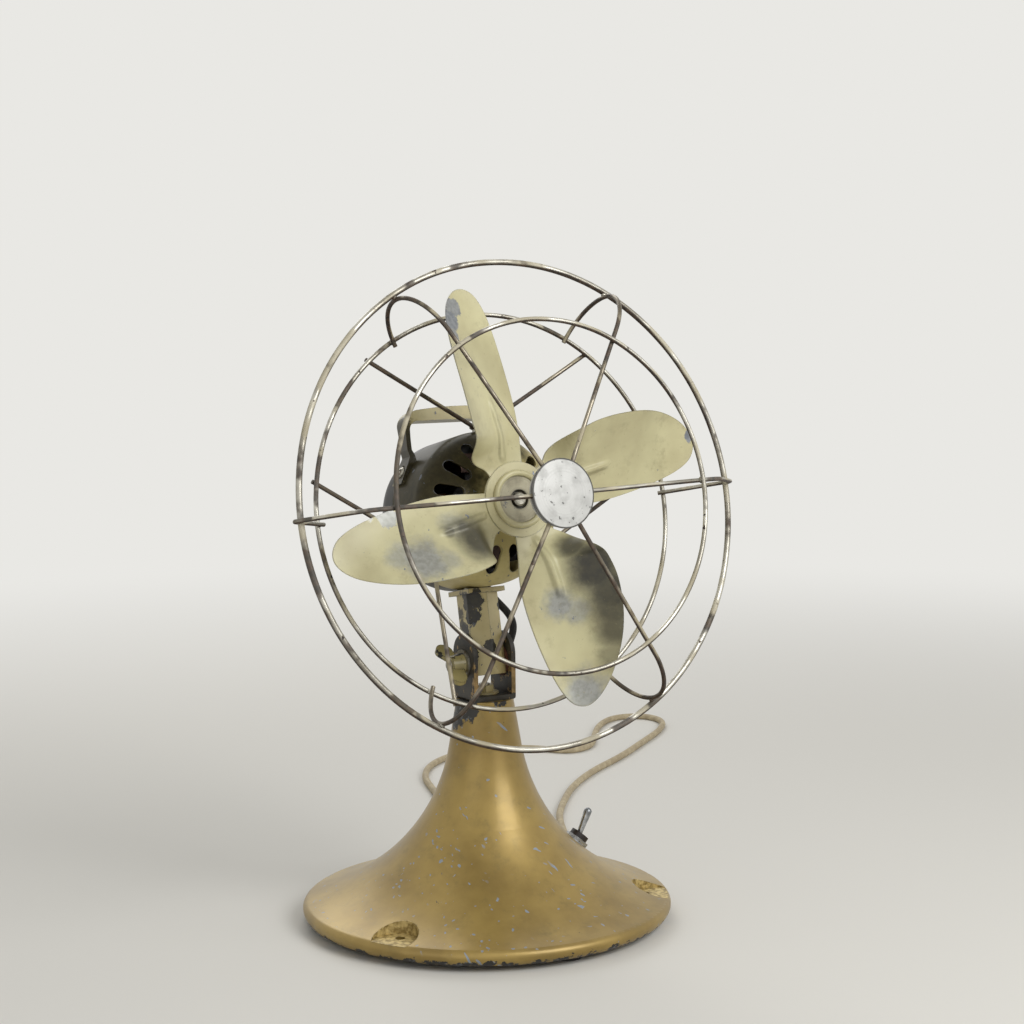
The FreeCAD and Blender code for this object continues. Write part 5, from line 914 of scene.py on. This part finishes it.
def make_guard():
    wires, welded = [], []
    for name, radius, place, wire in RINGS:
        steps = int(radius * RING_POINTS)
        circle = [around(radius, 2 * math.pi * number / steps, place) for number in range(steps)]
        wires.append((name, circle, True, wire))
    spoke, side_spoke = spoke_path(), side_spoke_path()
    for angle in range(0, 360, 60):
        turn = Matrix.Rotation(math.radians(angle + SIDE_TURNS.get(angle, 0.0)), 3, "Z")
        path = [turn @ point for point in (side_spoke if angle in SIDE_TURNS else spoke)]
        wires.append((f"guard_spoke_{angle}", path, False, SPOKE_WIRE))
        welded.append(path)
    for name, angle in STRUTS.items():
        turn = Matrix.Rotation(math.radians(angle), 3, "Z")
        path = [turn @ point + Vector((0, GUARD_DROP, 0)) for point in strut_path(angle)]
        wires.append((f"guard_strut_{name}", path, False, SPOKE_WIRE))
        welded.append(path)
    tree = wire_tree()
    for name, path, closed, wire in wires:
        steel = nodes[name].data.materials[0]
        sizes = {"Radius": wire * MM, "Material": steel, **WAVES}
        title = name.replace("guard", "wire")
        mesh = grown(title, tree, path_mesh(name, [point * MM for point in path], closed), sizes)
        mesh.transform(GUARD)
        new_piece(title, mesh, steel, "head", "worn_wire", name)
    spots = path_mesh("spots", [spot * MM for spot in weld_spots(welded)])
    beads = grown("weld_beads", weld_tree(), spots, {"Material": wire_steel, **WAVES})
    beads.transform(GUARD)
    new_piece("weld_beads", beads, wire_steel, "head", "worn_wire")


# ---- screws ----

AFT = (0.0, 0.978, -0.208)
DOWN = (0.0, 0.0, -1.0)
# Node, head radius and height, shank radius and length, then seats and outward axes in the world.
SCREWS = [
    (
        ("handle_screws", 3.8, 2.0, 1.8, 4.1),
        ((40.0, 27.75, 269.7), (0.829, 0.116, 0.547)),
        ((-40.0, 27.75, 269.7), (-0.829, 0.116, 0.547)),
    ),
    (
        ("strut_screws", 3.6, 2.0, 2.1, 6.0),
        ((0.0, 7.93, 296.45), (0.0, 0.208, 0.978)),
        ((-42.46, -7.37, 224.51), (-0.866, -0.104, -0.489)),
        ((42.46, -7.37, 224.51), (0.866, -0.104, -0.489)),
    ),
    (
        ("cover_bolts", 3.0, 2.2, 1.7, 47.0),
        ((23.63, 53.84, 269.82), AFT),
        ((-23.63, 53.84, 269.82), AFT),
        ((-16.35, 39.44, 202.08), AFT),
        ((16.35, 39.44, 202.08), AFT),
    ),
    (
        ("bottom_plate_screws", 3.0, 1.6, 1.6, 9.0),
        ((50.56, 42.42, 6.0), DOWN),
        ((-62.02, 22.57, 6.0), DOWN),
        ((11.46, -65.0, 6.0), DOWN),
    ),
]
SLOT_WIDTH = 0.26  # of the head's radius
SLOT_DEPTH = 0.5  # of the head's height


def make_screws():
    tree = screw_tree()
    for number, ((name, head, height, shank, length), *seats) in enumerate(SCREWS):
        mesh = path_mesh(name, [Vector(seat) * MM for seat, axis in seats])
        mesh.attributes.new("axis", "FLOAT_VECTOR", "POINT")
        mesh.attributes.new("slot_turn", "FLOAT", "POINT")
        for index, (seat, axis) in enumerate(seats):
            mesh.attributes["axis"].data[index].vector = axis
            mesh.attributes["slot_turn"].data[index].value = 0.7 + 2.1 * number + 1.3 * index
        sizes = {"Head radius": head * MM, "Head height": height * MM, "Slot width": SLOT_WIDTH * head * MM}
        sizes.update({"Slot depth": SLOT_DEPTH * height * MM, "Shank radius": shank * MM})
        sizes.update({"Shank length": length * MM, "Material": zinc_steel})
        body = "base" if name == "bottom_plate_screws" else "head"
        new_piece("slotted_" + name, grown(name, tree, mesh, sizes), zinc_steel, body, "zinc_steel", name)


# ---- motor lead ----

LEAD_RADIUS = 2.3
# The way in at the lead's hole, and the distances from the neck's axis and the height there.
LEAD_HOLE = around(1.0, math.radians(60))
LEAD_OUTSIDE, LEAD_INSIDE, LEAD_HEIGHT = 29.7, 8.0, 116.0
LEAD_ROUTE = [
    (15.0, 25.3, 202.8), (15.0, 24.2, 197.9), (19.5, 24.5, 190.0),
    (25.6, 13.5, 181.5), (26.5, 8.8, 173.0), (22.6, 9.4, 163.5),
    (20.6, 11.6, 152.0), (20.9, 15.6, 141.0), (19.6, 23.4, 129.0),
]


def make_lead():
    """The braided motor lead: it hangs in a bow from the motor to its hole in the neck."""
    points = [Vector(point) for point in LEAD_ROUTE]
    points += [LEAD_HOLE * reach + Vector((0, 0, LEAD_HEIGHT)) for reach in (LEAD_OUTSIDE, LEAD_INSIDE)]
    mesh = final_mesh(spline_tube("lead_route", points, LEAD_RADIUS, order=4, steps=14, rounding=6))
    lead = painted("braided_lead", mesh, lead_braid)
    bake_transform(lead)
    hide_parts("motor_lead")


make_guard()
make_screws()
make_lead()


# ---- cord ----

CORD_RADIUS = 2.5
CORD_AZIMUTH = math.radians(68.0)
CORD_OUT = around(1.0, CORD_AZIMUTH)
# Distances from the base's middle: inside the exit, where the cord bends down, and on the table.
CORD_EXIT, CORD_BEND, CORD_LANDING = 107.0, 121.0, 139.0
CORD_EXIT_HEIGHT = 7.2
CORD_ROUTE = [
    (62.0, 161.0), (79.0, 201.0), (101.0, 244.0), (115.0, 290.0), (128.0, 331.0), (152.0, 366.0),
    (186.0, 388.0), (224.0, 391.0), (254.0, 373.0), (271.0, 346.0), (298.0, 354.0), (321.0, 388.0),
    (349.0, 424.0), (378.0, 443.0), (403.0, 432.0), (404.0, 404.0), (379.0, 374.0), (340.0, 343.0),
    (297.0, 308.0), (252.0, 279.0), (211.0, 244.0), (178.0, 204.0), (152.0, 168.0),
]
COIL_CENTRE = Vector((97.0, 124.0, 0.0))
COIL_OUTER = 31.0
COIL_INNER = 18.5
LAYER_TURNS = 2.5
CLIMB_TURNS = 0.5
COIL_TURNS = 5.5556
COIL_START = math.radians(-25.0)
TURN_POINTS = 16
PLUG_NECK = (-29.5, 14.0, 6.5)
PLUG_TURN = -45.0


def coil_point(turns):
    """A point of the coil: inwards on the floor, up at the eye, outwards on the second layer."""
    pitch = (COIL_OUTER - COIL_INNER) / LAYER_TURNS
    low, high = CORD_RADIUS, 3 * CORD_RADIUS
    if turns < LAYER_TURNS:
        radius, height = COIL_OUTER - pitch * turns, low
    elif turns < LAYER_TURNS + CLIMB_TURNS:
        radius, height = COIL_INNER, low + (high - low) * (turns - LAYER_TURNS) / CLIMB_TURNS
    else:
        radius, height = COIL_INNER + pitch * (turns - LAYER_TURNS - CLIMB_TURNS), high
    angle = COIL_START - 2 * math.pi * turns
    return COIL_CENTRE + around(radius, angle, height)


def make_cord():
    floor = Vector((0, 0, CORD_RADIUS))
    lift = Vector((0, 0, CORD_EXIT_HEIGHT))
    points = [CORD_OUT * CORD_EXIT + lift, CORD_OUT * CORD_BEND + lift, CORD_OUT * CORD_LANDING + floor]
    points += [Vector((x, y, 0)) + floor for x, y in CORD_ROUTE]
    steps = int(COIL_TURNS * TURN_POINTS)
    points += [coil_point(step * COIL_TURNS / steps) for step in range(steps + 1)]
    points.append(COIL_CENTRE + Matrix.Rotation(math.radians(PLUG_TURN), 3, "Z") @ Vector(PLUG_NECK))
    cord = spline_tube("mains_cord", points, CORD_RADIUS, order=3, steps=8, rounding=4)
    cord.data.materials.append(cord_cover)
    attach(cord, "base")
    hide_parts("cord", "cord_coil")


make_cord()


# ---- floor and light ----

BACKGROUND = "#e9e8e4"
FLOOR_COLOUR = "#e2e0da"
FLOOR_HALF = 6.0
# Metres from the middle over which the floor melts into the background.
FLOOR_MELT = (0.45, 1.7)
SKY_LIGHT = 0.46
LAMP_AIM = Vector((0.0, 0.0, 0.2))
# Name, place, size and power of each lamp.
LAMPS = (
    ("key", (0.35, -1.15, 0.95), 0.8, 12.0),
    ("fill", (-1.2, -0.8, 0.5), 1.2, 2.0),
    ("back", (0.3, 1.2, 1.1), 1.0, 6.0),
)


def seen_rays(tree):
    """One for the rays that see the background: from the camera, off gloss and through glass."""
    path = add_node(tree, "ShaderNodeLightPath").outputs
    return sums("MAXIMUM", path["Is Camera Ray"], path["Is Glossy Ray"], path["Is Transmission Ray"])


def make_floor():
    """A pale matt floor that takes the object's shadow and melts into the background far out."""
    mesh = bpy.data.meshes.new("floor")
    corners = [(x * FLOOR_HALF, y * FLOOR_HALF, 0) for x, y in ((-1, -1), (1, -1), (1, 1), (-1, 1))]
    mesh.from_pydata(corners, [], [(0, 1, 2, 3)])
    made, tree = new_material("pale_floor")
    finish_surface(tree, FLOOR_COLOUR, 0.8)
    matt = tree.nodes["Principled BSDF"].outputs[0]
    glow = add_node(tree, "ShaderNodeEmission", {"Color": BACKGROUND}).outputs[0]
    reach = add_node(tree, "ShaderNodeVectorMath", {0: object_place(tree)}, operation="LENGTH")
    share = sums("MULTIPLY", between(reach.outputs["Value"], *FLOOR_MELT), seen_rays(tree))
    both = add_node(tree, "ShaderNodeMixShader", {0: share, 1: matt, 2: glow}).outputs[0]
    tree.links.new(both, tree.nodes["Material Output"].inputs["Surface"])
    painted("floor", mesh, made)


def make_light():
    world = bpy.data.worlds.new("studio")
    scene.world = world
    world.use_nodes = True
    tree = world.node_tree
    tree.nodes.clear()
    strength = mixed(seen_rays(tree), SKY_LIGHT, 1.0)
    sky = add_node(tree, "ShaderNodeBackground", {"Color": BACKGROUND, "Strength": strength})
    add_node(tree, "ShaderNodeOutputWorld", {"Surface": sky.outputs[0]})
    for name, place, size, power in LAMPS:
        data = bpy.data.lights.new(name, "AREA")
        data.size = size
        data.energy = power
        lamp = bpy.data.objects.new(name, data)
        lamp.location = place
        lamp.rotation_mode = "QUATERNION"
        lamp.rotation_quaternion = (LAMP_AIM - Vector(place)).to_track_quat("-Z", "Y")
        scene.collection.objects.link(lamp)
    scene.view_settings.view_transform = "Standard"


make_floor()
make_light()
